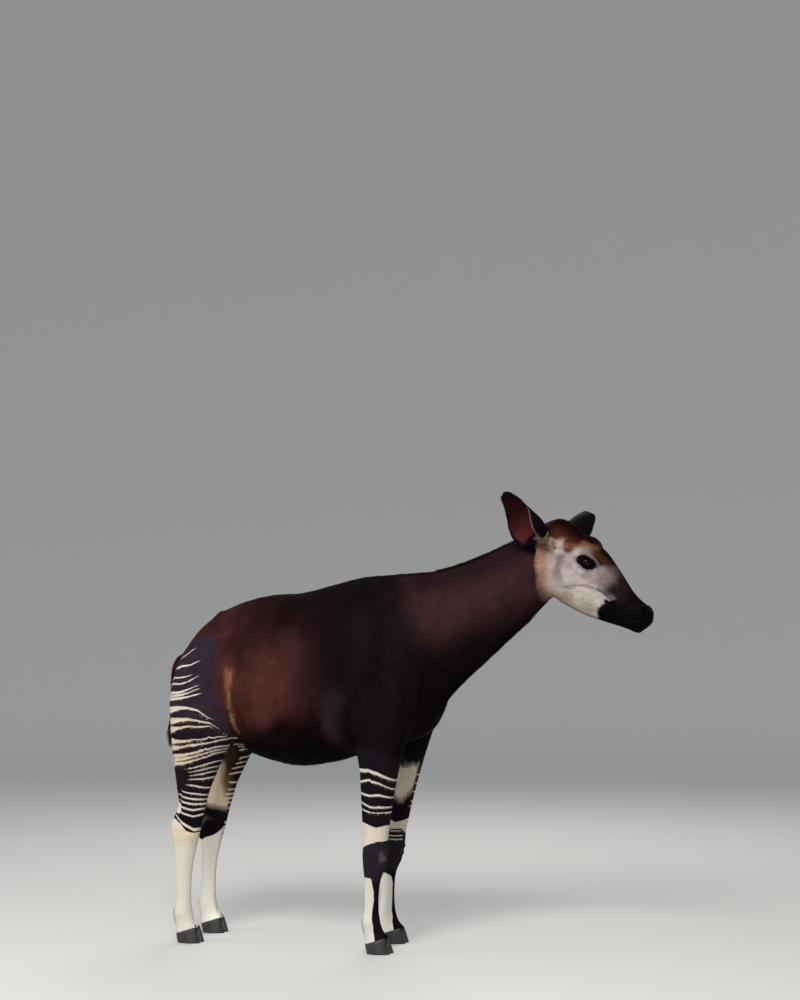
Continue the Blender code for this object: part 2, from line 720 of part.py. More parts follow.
def build_body():
    """Fuses and softens the body, then parts it into torso, neck and legs."""
    masses = [torso_mass(), neck_mass()]
    masses += [fore_leg_mass(side) for side in (-1, 1)]
    masses += [hind_leg_mass(side) for side in (-1, 1)]
    body = soften(fuse("body", masses), BODY_VOXEL, BODY_SOFTENING, BODY_FACES)
    part_of(body, "neck", "dark_brown", [HEAD_CUT, opposite(NECK_CUT)])
    zones = []
    for side, word in SIDES:
        fore_planes, hind_planes = leg_planes(side)
        zones += [zone(f"fore_zone_{word}", fore_planes), zone(f"hind_zone_{word}", hind_planes)]
        fore_foot = opposite(coronet_plane(FORE_HOOF_X - FORE_SET_BACK[side]))
        hind_foot = opposite(coronet_plane(HIND_HOOF_X - HIND_SET_BACK[side]))
        part_of(body, f"foreleg_{word}", "striped", fore_planes + [fore_foot])
        part_of(body, f"hind_leg_{word}", "striped", hind_planes + [hind_foot])
    torso = part_of(body, "torso", "chestnut", [NECK_CUT])
    carve(torso, zones)
    keep_largest(torso)
    remove([body])
    return torso


def zone(name, planes):
    """The space behind every plane, each pushed out by half the cut gap."""
    block = None
    for index, (point, normal) in enumerate(planes):
        outward = Vector(point) + Vector(normal).normalized() * (CUT_GAP / 2)
        piece = half_space(f"{name}_{index}", outward, normal)
        block = piece if block is None else carve(block, [piece], operation="INTERSECT")
    block.name = name
    return block


def build_head():
    """Fuses and softens the head, then opens its lids, nostrils and mouth and sets ears and eyes."""
    head = fuse("head_mass", head_masses() + [neck_mass()])
    behind = Vector(HEAD_CUT[0]) - Vector((0.030, 0.0, 0.0))
    carve(head, [half_space("behind", behind, HEAD_CUT[1])])
    soften(head, HEAD_VOXEL, HEAD_SOFTENING, HEAD_FACES)
    lids = [eyeball("lid_bulge", side, EYE_RADIUS + LID_THICKNESS) for side in (-1, 1)]
    head = fuse("head_mass", [head, *lids])
    openings = [lid_opening(side) for side in (-1, 1)]
    sockets = [eyeball("socket", side, EYE_RADIUS + CUT_GAP) for side in (-1, 1)]
    nostrils = [nostril(side) for side in (-1, 1)]
    carve(head, openings + sockets + nostrils + [mouth_groove()])
    done = part_of(head, "head", "cream", [opposite(HEAD_CUT)])
    remove([head])
    for side, word in SIDES:
        eyeball(f"eye_{word}", side, EYE_RADIUS, "eye")
        name = f"ear_{word}"
        made = fuse(name, [ear(name, side), ear_plug(side)], "dark_brown")
        carve(made, [swollen(done, CUT_GAP)])
        keep_largest(made)
        made.data.shade_smooth()
    return done


def build_tail(torso):
    """Tail with its tuft, seated on the rump."""
    tail = fuse("tail", [tail_masses()] + [tail_lock(i) for i in range(TAIL_LOCKS)], "dark_brown")
    carve(tail, [swollen(torso, CUT_GAP)])
    keep_largest(tail)


def build_hooves():
    """Two hooves under each foot."""
    pairs = (
        ("fore", FORE_HOOF_X, FORE_STANCE, FORE_SET_BACK),
        ("hind", HIND_HOOF_X, HIND_STANCE, HIND_SET_BACK),
    )
    for leg, x, stance, set_back in pairs:
        for side, word in SIDES:
            for step, place in ((-1, "inner"), (1, "outer")):
                y = side * (stance + step * (HOOF_WIDTH + HOOF_CLEFT) / 2)
                hoof(f"hoof_{leg}_{word}_{place}", x - set_back[side], y, side * step)


def main():
    """Builds the whole animal."""
    clear_scene()
    torso = build_body()
    build_head()
    build_tail(torso)
    build_hooves()
    for obj in bpy.data.objects:
        obj.data.transform(Matrix.Translation((CENTRING, 0.0, 0.0)))


main()
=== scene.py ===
"""A standing okapi as a still, life-size model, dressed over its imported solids.

One skin is rebuilt from lofted masses, given its muscles, folds, lids, lips and nostrils, and joined to
two thin ears. Short tufts lie over it along the lie of the coat, and eyes and hooves are their own pieces.
Lengths are in metres. The body is laid out from the withers, and every piece is moved by LAYOUT_SHIFT
along X when it becomes an object, so that it sits where the solids are.
"""

import logging
import math
from dataclasses import dataclass, field
from enum import Enum, IntEnum

import bpy
import numpy as np
from mathutils import Matrix, Vector


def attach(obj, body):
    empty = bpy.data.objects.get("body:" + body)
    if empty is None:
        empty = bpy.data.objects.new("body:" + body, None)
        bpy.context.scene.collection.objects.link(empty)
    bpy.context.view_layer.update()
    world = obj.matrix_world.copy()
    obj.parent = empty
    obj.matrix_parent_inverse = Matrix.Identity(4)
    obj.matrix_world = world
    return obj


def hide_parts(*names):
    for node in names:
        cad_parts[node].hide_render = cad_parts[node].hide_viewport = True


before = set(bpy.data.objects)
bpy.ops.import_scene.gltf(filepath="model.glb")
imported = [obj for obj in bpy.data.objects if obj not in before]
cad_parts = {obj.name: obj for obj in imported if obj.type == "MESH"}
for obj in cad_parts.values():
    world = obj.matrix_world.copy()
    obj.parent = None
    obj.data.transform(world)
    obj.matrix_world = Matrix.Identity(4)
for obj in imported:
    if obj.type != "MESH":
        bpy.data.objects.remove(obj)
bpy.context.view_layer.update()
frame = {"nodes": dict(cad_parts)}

LOG = logging.getLogger("okapi")
Array = np.ndarray

LAYOUT_SHIFT = 0.040
SEED = 51


class Side(Enum):
    """The two sides of the animal, by the sign of Y."""

    RIGHT = -1
    LEFT = 1


class Region(IntEnum):
    """Parts of the skin that are unwrapped on their own."""

    TORSO = 0
    NECK = 1
    HEAD = 2
    FORE_RIGHT = 3
    FORE_LEFT = 4
    HIND_RIGHT = 5
    HIND_LEFT = 6
    EAR_RIGHT = 7
    EAR_LEFT = 8


# Arithmetic on arrays


def unit(vectors: Array) -> Array:
    """Vectors divided by their lengths."""
    return vectors / np.maximum(np.linalg.norm(vectors, axis=-1, keepdims=True), 1e-12)


def ease(low: float, high: float, values: Array) -> Array:
    """Smooth step: t = (value - low) / (high - low) held to 0..1, then 3t^2 - 2t^3."""
    t = np.clip((values - low) / (high - low), 0.0, 1.0)
    return t * t * (3.0 - 2.0 * t)


def bell(distance: Array, width: float) -> Array:
    """Bell curve exp(-(distance / width)^2)."""
    return np.exp(-((distance / width) ** 2))


def mixed(first: Array, second: Array, share: Array) -> Array:
    """first + (second - first) * share, for rows of colours or vectors."""
    return first + (np.asarray(second) - first) * np.asarray(share)[..., None]


def smooth_rows(rows: Array, count: int) -> Array:
    """Carries a smooth curve through rows of numbers.

    Cubic Hermite: row(t) = h00 r0 + h10 w m0 + h01 r1 + h11 w m1 between knots spaced by row distance.

    Args:
        rows: the given rows, one per station.
        count: how many evenly spaced rows to return.

    Returns:
        An array of count rows.
    """
    rows = np.asarray(rows, float)
    steps = np.linalg.norm(np.diff(rows, axis=0), axis=1)
    knots = np.concatenate([[0.0], np.cumsum(np.maximum(steps, 1e-6))])
    slopes = np.gradient(rows, knots, axis=0)
    at = np.linspace(0.0, knots[-1], count)
    k = np.clip(np.searchsorted(knots, at, side="right") - 1, 0, len(rows) - 2)
    width = (knots[k + 1] - knots[k])[:, None]
    t = (at - knots[k])[:, None] / width
    return (
        (2 * t**3 - 3 * t**2 + 1) * rows[k]
        + (t**3 - 2 * t**2 + t) * width * slopes[k]
        + (-2 * t**3 + 3 * t**2) * rows[k + 1]
        + (t**3 - t**2) * width * slopes[k + 1]
    )


def value_noise(points: Array, scale: float, seed: int) -> Array:
    """Smooth noise in -1..1: hashed lattice values blended by 3t^2 - 2t^3 along each axis.

    Args:
        points: where the noise is read.
        scale: lattice cells per metre.
        seed: which of many noises.

    Returns:
        One value per point.
    """
    place = points * scale + seed * 17.31
    cell = np.floor(place).astype(np.int64)
    t = place - cell
    t = t * t * (3 - 2 * t)
    total = np.zeros(len(points))
    for corner in range(8):
        step = np.array([corner & 1, (corner >> 1) & 1, (corner >> 2) & 1])
        q = cell + step
        h = (q[:, 0] * 73856093) ^ (q[:, 1] * 19349663) ^ (q[:, 2] * 83492791) ^ (seed * 2654435)
        h = ((h ^ (h >> 13)) * 1274126177) & 0x7FFFFFFF
        value = ((h ^ (h >> 16)) & 0xFFFF) / 32767.5 - 1.0
        total += value * np.prod(np.where(step == 1, t, 1 - t), axis=1)
    return total


def path_distance(places: Array, path: Array) -> tuple[Array, Array]:
    """Distance from points to a line of straight pieces, in two or three dimensions.

    Args:
        places: the points.
        path: the line's corners.

    Returns:
        The distance of each point, and its share of the way along the line, 0 to 1.
    """
    path = np.asarray(path, float)
    spans = np.linalg.norm(np.diff(path, axis=0), axis=1)
    starts = np.concatenate([[0.0], np.cumsum(spans)])
    best = np.full(len(places), 1e9)
    share = np.zeros(len(places))
    for a, b, start, span in zip(path, path[1:], starts, spans):
        t = np.clip((places - a) @ (b - a) / max(span * span, 1e-12), 0.0, 1.0)
        away = np.linalg.norm(places - (a + t[:, None] * (b - a)), axis=1)
        nearer = away < best
        best = np.where(nearer, away, best)
        share = np.where(nearer, (start + t * span) / starts[-1], share)
    return best, share


def inside_outline(places: Array, outline: Array) -> Array:
    """Signed distance to a closed outline in the plane, positive inside it."""
    outline = np.asarray(outline, float)
    closed = np.vstack([outline, outline[:1]])
    away, _ = path_distance(places, closed)
    crossings = np.zeros(len(places), int)
    x, y = places[:, 0], places[:, 1]
    for (x0, y0), (x1, y1) in zip(closed, closed[1:]):
        if y0 != y1:
            spans = (y0 > y) != (y1 > y)
            crossings += spans & (x < (x1 - x0) * (y - y0) / (y1 - y0) + x0)
    return np.where(crossings % 2 == 1, away, -away)


# Surfaces


@dataclass
class Surface:
    """A closed triangle surface held as arrays."""

    points: Array
    faces: Array

    @classmethod
    def joined(cls, parts: list["Surface"]) -> "Surface":
        """Several surfaces side by side in one."""
        offsets = np.cumsum([0] + [len(p.points) for p in parts[:-1]])
        faces = [p.faces + start for p, start in zip(parts, offsets)]
        return cls(np.concatenate([p.points for p in parts]), np.concatenate(faces))

    @classmethod
    def of_mesh(cls, mesh: bpy.types.Mesh) -> "Surface":
        """The triangles of a Blender mesh."""
        points = np.empty(len(mesh.vertices) * 3, np.float32)
        mesh.vertices.foreach_get("co", points)
        mesh.calc_loop_triangles()
        faces = np.empty(len(mesh.loop_triangles) * 3, np.int32)
        mesh.loop_triangles.foreach_get("vertices", faces)
        return cls(points.reshape(-1, 3).astype(float), faces.reshape(-1, 3).astype(np.int64))

    def outward(self) -> "Surface":
        """Turned so that its signed volume, sum of p0 . (p1 x p2) / 6, is positive."""
        a, b, c = (self.points[self.faces[:, k]] for k in range(3))
        if np.einsum("ij,ij->", a, np.cross(b, c)) < 0:
            self.faces = self.faces[:, ::-1].copy()
        return self

    def face_normals(self) -> Array:
        """Cross product of two sides of each triangle, twice its area long."""
        a, b, c = (self.points[self.faces[:, k]] for k in range(3))
        return np.cross(b - a, c - a)

    def normals(self) -> Array:
        """Unit normal of each point: the sum of the normals of its triangles, made one long."""
        flat = self.face_normals()
        total = np.zeros_like(self.points)
        for k in range(3):
            for axis in range(3):
                total[:, axis] += np.bincount(self.faces[:, k], flat[:, axis], len(self.points))
        return unit(total)

    def edges(self) -> tuple[Array, Array]:
        """The edges, each once with its lower point first, and for each triangle its three edges."""
        pairs = np.sort(self.faces[:, [0, 1, 1, 2, 2, 0]].reshape(-1, 2), axis=1)
        code = pairs[:, 0] * len(self.points) + pairs[:, 1]
        _, first, back = np.unique(code, return_index=True, return_inverse=True)
        return pairs[first], back.reshape(-1, 3)

    def refined(self, chosen: Array) -> "Surface":
        """Splits every edge whose two ends are chosen.

        A new point is the middle of its edge, drawn three quarters of the way onto the tangent
        planes of the two ends, so that a round form stays round.

        Args:
            chosen: one truth value per point.

        Returns:
            The finer surface. The old points keep their numbers.
        """
        edges, of_face = self.edges()
        split = chosen[edges[:, 0]] & chosen[edges[:, 1]]
        number = np.where(split, np.cumsum(split) - 1 + len(self.points), -1)
        a, b = edges[split, 0], edges[split, 1]
        normals = self.normals()
        middle = (self.points[a] + self.points[b]) / 2
        drawn = np.zeros_like(middle)
        for end in (a, b):
            off = np.einsum("ij,ij->i", middle - self.points[end], normals[end])
            drawn += (middle - off[:, None] * normals[end]) / 2
        middle = middle * 0.25 + drawn * 0.75
        mids = number[of_face]
        have = (mids >= 0).sum(axis=1)
        whole, thirds = self.faces[have == 0], self.faces[have == 3]
        m = mids[have == 3]
        four = [
            np.stack([thirds[:, 0], m[:, 0], m[:, 2]], 1),
            np.stack([m[:, 0], thirds[:, 1], m[:, 1]], 1),
            np.stack([m[:, 2], m[:, 1], thirds[:, 2]], 1),
            m,
        ]
        halves = []
        for k in range(3):
            one = (have == 1) & (mids[:, k] >= 0)
            p, q, r = (self.faces[one, (k + i) % 3] for i in range(3))
            halves += [np.stack([p, mids[one, k], r], 1), np.stack([mids[one, k], q, r], 1)]
        return Surface(np.vstack([self.points, middle]), np.vstack([whole, *four, *halves]))

    def eased(self, weight: Array, passes: int) -> "Surface":
        """Moves each point half way to the mean of its neighbours, times its weight, passes times."""
        edges, _ = self.edges()
        a, b = edges[:, 0], edges[:, 1]
        size = len(self.points)
        degree = np.bincount(a, minlength=size) + np.bincount(b, minlength=size)
        for _ in range(passes):
            mean = np.empty_like(self.points)
            for axis in range(3):
                line = self.points[:, axis]
                near = np.bincount(a, line[b], size) + np.bincount(b, line[a], size)
                mean[:, axis] = near / degree
            self.points = self.points + (mean - self.points) * (0.5 * weight)[:, None]
        return self

    def spread(self, marked: Array, rings: int) -> Array:
        """Weight 1 at the marked points that falls to 0 over so many rings of neighbours."""
        edges, _ = self.edges()
        weight = marked.astype(float)
        for _ in range(rings):
            for one, other in ((0, 1), (1, 0)):
                reached = weight[edges[:, one]] - 1.0 / rings
                np.maximum.at(weight, edges[:, other], reached)
        return np.clip(weight, 0.0, 1.0)

    def to_mesh(self, name: str) -> bpy.types.Mesh:
        """A Blender mesh of this surface, still in the layout's place."""
        mesh = bpy.data.meshes.new(name)
        mesh.vertices.add(len(self.points))
        mesh.vertices.foreach_set("co", self.points.astype(np.float32).ravel())
        mesh.loops.add(self.faces.size)
        mesh.loops.foreach_set("vertex_index", self.faces.astype(np.int32).ravel())
        mesh.polygons.add(len(self.faces))
        mesh.polygons.foreach_set("loop_start", np.arange(0, self.faces.size, 3, dtype=np.int32))
        mesh.update(calc_edges=True)
        mesh.validate()
        return mesh

    def to_object(self, name: str) -> bpy.types.Object:
        """A finished object at the origin, with its place in its mesh."""
        moved = Surface(self.points + np.array([LAYOUT_SHIFT, 0.0, 0.0]), self.faces)
        obj = bpy.data.objects.new(name, moved.to_mesh(name))
        bpy.context.scene.collection.objects.link(obj)
        obj.data.shade_smooth()
        return obj

    def modified(self, add: "callable", weight: Array | None = None) -> "Surface":
        """Runs modifiers on a passing object made of this surface.

        Args:
            add: takes the object and gives it its modifiers.
            weight: values of a vertex group named "part", if a modifier reads one.

        Returns:
            The surface that comes out.
        """
        obj = bpy.data.objects.new("passing", self.to_mesh("passing"))
        bpy.context.scene.collection.objects.link(obj)
        if weight is not None:
            group = obj.vertex_groups.new(name="part")
            steps = np.round(weight * 4) / 4
            for step in np.unique(steps[steps > 0]):
                group.add(np.nonzero(steps == step)[0].tolist(), float(step), "REPLACE")
        helpers = add(obj) or []
        bpy.context.view_layer.update()
        graph = bpy.context.evaluated_depsgraph_get()
        mesh = bpy.data.meshes.new_from_object(obj.evaluated_get(graph))
        result = Surface.of_mesh(mesh)
        for helper in [obj, *helpers]:
            data = helper.data
            bpy.data.objects.remove(helper, do_unlink=True)
            bpy.data.meshes.remove(data)
        bpy.data.meshes.remove(mesh)
        return result

    def rebuilt(self, voxel: float) -> "Surface":
        """One even skin round overlapping closed forms."""

        def add(obj: bpy.types.Object) -> None:
            """Gives the object its rebuild."""
            modifier = obj.modifiers.new("rebuild", "REMESH")
            modifier.mode = "VOXEL"
            modifier.voxel_size = voxel

        return self.modified(add)

    def thinned(self, weight: Array, target: int) -> "Surface":
        """Fewer triangles where weight is above 0, until about target are left in all."""

        def add(obj: bpy.types.Object) -> None:
            """Gives the object its thinning."""
            modifier = obj.modifiers.new("thin", "DECIMATE")
            modifier.ratio = min(1.0, target / len(self.faces))
            modifier.vertex_group = "part"

        return self.modified(add, weight)

    def united(self, other: "Surface") -> "Surface":
        """The union of two closed surfaces."""

        def add(obj: bpy.types.Object) -> list[bpy.types.Object]:
            """Gives the object its union with the other one."""
            partner = bpy.data.objects.new("partner", other.to_mesh("partner"))
            bpy.context.scene.collection.objects.link(partner)
            modifier = obj.modifiers.new("unite", "BOOLEAN")
            modifier.operation = "UNION"
            modifier.solver = "MANIFOLD"
            modifier.object = partner
            return [partner]

        return self.modified(add)


def tube(rings: Array) -> Surface:
    """Closed tube: point(i, j) = rings[i, j], with a cap centre at the mean of each end ring."""
    n, m = rings.shape[:2]
    ends = np.stack([rings[0].mean(axis=0), rings[-1].mean(axis=0)])
    points = np.concatenate([rings.reshape(-1, 3), ends])
    i, j = np.meshgrid(np.arange(n - 1), np.arange(m), indexing="ij")
    i, j = i.ravel(), j.ravel()
    k = (j + 1) % m
    low, high = i * m, (i + 1) * m
    sides = [np.stack([low + j, low + k, high + k], 1), np.stack([low + j, high + k, high + j], 1)]
    j = np.arange(m)
    k = (j + 1) % m
    last = (n - 1) * m
    caps = [
        np.stack([k, j, np.full(m, n * m)], 1),
        np.stack([last + j, last + k, np.full(m, n * m + 1)], 1),
    ]
    return Surface(points, np.concatenate(sides + caps)).outward()


def ball(centre: Array, radii: Array, turn: Array | None = None, rings: int = 18) -> Surface:
    """Ellipsoid: centre + turn (rx sin u cos v, ry sin u sin v, rz cos u)."""
    u = np.linspace(0.05, math.pi - 0.05, rings)[:, None]
    v = np.linspace(0.0, 2 * math.pi, rings * 2, endpoint=False)[None, :]
    grid = np.stack([np.sin(u) * np.cos(v), np.sin(u) * np.sin(v), np.cos(u) + 0 * v], -1)
    grid = grid * np.asarray(radii)
    if turn is not None:
        grid = grid @ np.asarray(turn).T
    return tube(grid + np.asarray(centre))


def midline_tube(rows: list[tuple], count: int, sides: int) -> Array:
    """Rings of a mass that straddles the midline.

    Each row is crest x, crest z, keel x, keel z, half width, widest share, crest pinch, keel pinch.
    With angle a, the point lies |cos a| of the way from the widest level to the crest or the keel,
    and y = half width * sign(sin a) |sin a|^pinch.

    Args:
        rows: the stations.
        count: rings along the mass.
        sides: points round each ring.

    Returns:
        An array (count, sides, 3) in the mass's own frame.
    """
    r = smooth_rows(rows, count)[:, None, :]
    angle = np.linspace(0.0, 2 * math.pi, sides, endpoint=False)[None, :]
    up, out = np.cos(angle), np.sin(angle)
    crest = np.stack([r[..., 0], r[..., 1]], -1)
    keel = np.stack([r[..., 2], r[..., 3]], -1)
    middle = keel + (crest - keel) * r[..., 5:6]
    end = np.where((up > 0)[..., None], crest, keel)
    flat = middle + (end - middle) * np.abs(up)[..., None]
    pinch = np.where(up > 0, r[..., 6], r[..., 7])
    y = r[..., 4] * np.sign(out) * np.abs(out) ** pinch
    return np.stack([flat[..., 0], y, flat[..., 1]], -1)


@dataclass(frozen=True)
class Stroke:
    """A soft ridge, or a groove where height is below 0, along a line in a side view."""

    path: tuple
    width: float
    height: float
    fade: float = 0.15

    def lift(self, flat: Array) -> Array:
        """height * exp(-(distance / width)^2), less towards the two ends of the line."""
        if len(self.path) == 1:
            return self.height * bell(np.linalg.norm(flat - np.array(self.path[0]), axis=1), self.width)
        away, share = path_distance(flat, self.path)
        ends = ease(-0.02, self.fade, share) * ease(-0.02, self.fade, 1.0 - share)
        return self.height * bell(away, self.width) * (0.25 + 0.75 * ends)


# The animal's frames and parts


@dataclass
class HeadFrame:
    """Place of the head: along it, across it to the left, and up out of its forehead."""

    origin: tuple = (0.560, 0.0, 1.600)
    slope: float = math.radians(36.0)
    turn: float = math.radians(-6.0)

    def matrix(self) -> Array:
        """Rotation Rz(turn) Ry(slope), its columns being along, left and up."""
        return np.array(Matrix.Rotation(self.turn, 3, "Z") @ Matrix.Rotation(self.slope, 3, "Y"))

    def local(self, points: Array) -> Array:
        """Points of the layout in the head's own frame."""
        return (points - np.array(self.origin)) @ self.matrix()

    def world(self, points: Array) -> Array:
        """Points of the head's frame in the layout."""
        return points @ self.matrix().T + np.array(self.origin)


@dataclass
class Stance:
    """Where the four feet stand, and the cuts that part legs, neck and head from the barrel."""

    fore: float = 0.135
    hind: float = 0.138
    fore_back: float = 0.033
    hind_back: float = 0.020
    from_height: float = 0.80
    head_cut: tuple = ((0.545, 0.0, 1.510), (0.964, 0.0, 0.265))
    neck_cut: tuple = ((0.080, 0.0, 1.250), (0.930, 0.0, 0.370))
    fore_roof: tuple = ((-0.080, 0.0, 0.800), (0.280, 0.0, 0.960))
    hind_roof: tuple = ((-0.850, 0.0, 0.900), (0.420, 0.0, 0.910))
    fore_rear: float = -0.245
    hind_front: float = -0.690
    fore_inside: float = 0.066
    hind_inside: float = 0.046

    def set_back(self, fore: bool, side: Side) -> float:
        """How far the foot of one leg stands behind its pair."""
        if side is Side.RIGHT:
            return 0.0
        return self.fore_back if fore else self.hind_back

    def shift(self, height: Array, back: float) -> Array:
        """x shift of a leg that stands back: -back * clip(1.6 (1 - z / from_height))."""
        return -back * np.clip(1.6 * (1.0 - height / self.from_height), 0.0, 1.0)

    def plain(self, points: Array) -> Array:
        """Points with the left legs' shift taken out, so that both sides read alike."""
        out = points.copy()
        left = points[:, 1] > 0
        fore = points[:, 0] > -0.5
        back = np.where(left, np.where(fore, self.fore_back, self.hind_back), 0.0)
        legs = points[:, 0] < 0.4
        out[:, 0] -= np.where(legs, self.shift(points[:, 2], back), 0.0)
        return out

    @staticmethod
    def beyond(points: Array, plane: tuple) -> Array:
        """Distance past a plane along its normal."""
        return (points - np.array(plane[0])) @ unit(np.array(plane[1]))

    def leg_weights(self, points: Array) -> tuple[Array, Array]:
        """How much each point belongs to a foreleg and to a hind leg, 0 to 1."""
        x, y = points[:, 0], np.abs(points[:, 1])
        fore = ease(0.02, -0.03, self.beyond(points, self.fore_roof)) * ease(-0.27, -0.22, x)
        hind = ease(0.02, -0.03, self.beyond(points, self.hind_roof)) * ease(-0.66, -0.71, x)
        fore = fore * ease(0.045, 0.075, y) * (x < 0.3)
        return fore, hind * ease(0.030, 0.055, y)

    def regions(self, points: Array) -> Array:
        """The region of each point of skin, ears apart."""
        x, y = points[:, 0], points[:, 1]
        fore = (self.beyond(points, self.fore_roof) < 0) & (x > self.fore_rear)
        fore &= (np.abs(y) > self.fore_inside) & (x < 0.3)
        hind = (self.beyond(points, self.hind_roof) < 0) & (x < self.hind_front)
        hind &= np.abs(y) > self.hind_inside
        out = np.full(len(points), int(Region.TORSO))
        out[self.beyond(points, self.neck_cut) > 0] = Region.NECK
        out[(self.beyond(points, self.head_cut) > 0) & (x > 0.3)] = Region.HEAD
        out[fore & (y < 0)] = Region.FORE_RIGHT
        out[fore & (y > 0)] = Region.FORE_LEFT
        out[hind & (y < 0)] = Region.HIND_RIGHT
        out[hind & (y > 0)] = Region.HIND_LEFT
        return out


@dataclass
class Trunk:
    """Barrel, withers, croup, breast, neck and the dock of the tail."""

    rump_x: float = -1.040
    tail_length: float = 0.300
    dock_radii: tuple = (0.024, 0.024, 0.020, 0.016, 0.012)
    strokes: tuple = (
        Stroke(((0.030, 1.440), (0.095, 1.280), (0.125, 1.120), (0.115, 1.000)), 0.028, -0.005),
        Stroke(((-0.150, 1.400), (-0.200, 1.250), (-0.232, 1.080), (-0.228, 0.960), (-0.205, 0.870)), 0.030, -0.006),
        Stroke(((0.085, 1.080),), 0.055, 0.008),
        Stroke(((-0.090, 1.120), (-0.165, 0.980)), 0.060, 0.008),
        Stroke(((-0.030, 1.400), (0.020, 1.240), (0.050, 1.120)), 0.022, 0.005),
        Stroke(((-0.700, 1.335),), 0.042, 0.008),
        Stroke(((-0.640, 1.220), (-0.600, 1.150)), 0.060, -0.009),
        Stroke(((-0.735, 1.160), (-0.722, 1.050), (-0.690, 0.950), (-0.655, 0.860)), 0.017, -0.010),
        Stroke(((-0.700, 1.120), (-0.680, 1.020), (-0.645, 0.920), (-0.600, 0.840)), 0.022, 0.007),
        Stroke(((-0.930, 1.210), (-0.905, 1.050), (-0.885, 0.880)), 0.020, -0.005),
        Stroke(((-0.840, 1.180), (-0.820, 1.000), (-0.800, 0.880)), 0.050, 0.006),
        Stroke(((-0.195, 0.865),), 0.028, 0.007),
        Stroke(((-0.300, 0.860), (-0.420, 0.790), (-0.560, 0.790)), 0.030, 0.004),
        Stroke(((-0.250, 0.960), (-0.330, 0.860), (-0.460, 0.820)), 0.014, -0.003),
        Stroke(((0.105, 1.440), (0.150, 1.290), (0.180, 1.150)), 0.012, -0.0022),
        Stroke(((0.130, 1.430), (0.170, 1.290), (0.200, 1.160)), 0.014, 0.0016),
        Stroke(((0.165, 1.400), (0.204, 1.270), (0.230, 1.170)), 0.011, -0.0018),
        Stroke(((0.235, 1.130), (0.340, 1.230), (0.430, 1.310), (0.520, 1.430)), 0.020, -0.006),
        Stroke(((0.150, 1.200), (0.330, 1.340), (0.480, 1.490)), 0.034, 0.005),
        Stroke(((0.100, 1.440), (0.300, 1.490), (0.480, 1.580)), 0.028, -0.003),
        Stroke(((0.130, 0.985), (0.150, 1.060), (0.155, 1.140)), 0.020, -0.004),
    )
    rib_starts: tuple = (-0.285, -0.335, -0.385, -0.435, -0.485, -0.535, -0.585)

    def masses(self) -> list[Surface]:
        """Torso, neck and dock as overlapping closed tubes."""
        x = self.rump_x
        torso = [
            (x, 1.140, x + 0.005, 0.985, 0.040, 0.50, 1.00, 1.0),
            (-0.995, 1.196, -1.000, 0.900, 0.110, 0.50, 1.10, 1.0),
            (-0.900, 1.304, -0.900, 0.835, 0.172, 0.50, 1.25, 1.0),
            (-0.770, 1.378, -0.770, 0.790, 0.208, 0.48, 1.35, 1.0),
            (-0.620, 1.414, -0.620, 0.738, 0.234, 0.46, 1.30, 1.0),
            (-0.480, 1.424, -0.480, 0.716, 0.250, 0.44, 1.30, 1.0),
            (-0.340, 1.457, -0.340, 0.733, 0.242, 0.43, 1.40, 1.0),
            (-0.200, 1.489, -0.195, 0.772, 0.218, 0.43, 1.55, 1.0),
            (-0.060, 1.500, -0.050, 0.802, 0.184, 0.42, 1.60, 1.0),
            (0.040, 1.490, 0.065, 0.850, 0.158, 0.42, 1.40, 1.0),
            (0.105, 1.400, 0.130, 0.940, 0.122, 0.45, 1.10, 1.0),
            (0.140, 1.250, 0.165, 1.030, 0.060, 0.50, 1.00, 1.0),
        ]
        neck = [
            (-0.180, 1.440, -0.020, 0.960, 0.110, 0.45, 1.30, 1.0),
            (-0.020, 1.500, 0.115, 0.960, 0.135, 0.42, 1.50, 1.0),
            (0.110, 1.513, 0.205, 1.050, 0.118, 0.42, 1.45, 1.0),
            (0.235, 1.546, 0.305, 1.140, 0.102, 0.44, 1.35, 1.0),
            (0.360, 1.596, 0.405, 1.228, 0.091, 0.46, 1.25, 1.0),
            (0.455, 1.634, 0.500, 1.312, 0.082, 0.48, 1.15, 1.0),
            (0.530, 1.662, 0.575, 1.385, 0.072, 0.50, 1.10, 1.0),
            (0.580, 1.660, 0.620, 1.450, 0.055, 0.50, 1.00, 1.0),
        ]
        return [tube(midline_tube(torso, 120, 96)), tube(midline_tube(neck, 90, 84)), self.dock()]

    def dock(self) -> Surface:
        """Tail root that hangs close to the rump: circles of falling radius down a curved line."""
        x, low = self.rump_x, 1.140 - self.tail_length
        line = ((x + 0.080, 1.185), (x + 0.012, 1.152), (x - 0.016, 1.090), (x - 0.020, 1.000), (x - 0.016, low))
        rows = smooth_rows([(*p, r) for p, r in zip(line, self.dock_radii)], 30)[:, None, :]
        angle = np.linspace(0.0, 2 * math.pi, 20, endpoint=False)[None, :]
        rings = [rows[..., 0] + rows[..., 2] * np.cos(angle), 1.1 * rows[..., 2] * np.sin(angle)]
        return tube(np.stack([*rings, rows[..., 1] + 0 * angle], -1))

    def lift(self, flat: Array, points: Array, normals: Array) -> Array:
        """Height of muscles, folds and ribs at each point, strongest where the skin faces aside."""
        total = sum(stroke.lift(flat) for stroke in self.strokes)
        for x in self.rib_starts:
            rib = Stroke(((x, 1.300), (x - 0.045, 1.150), (x - 0.050, 0.980), (x - 0.010, 0.860)), 0.013, 0.0018)
            total = total + rib.lift(flat)
        return total * ease(0.25, 0.75, np.abs(normals[:, 1]))


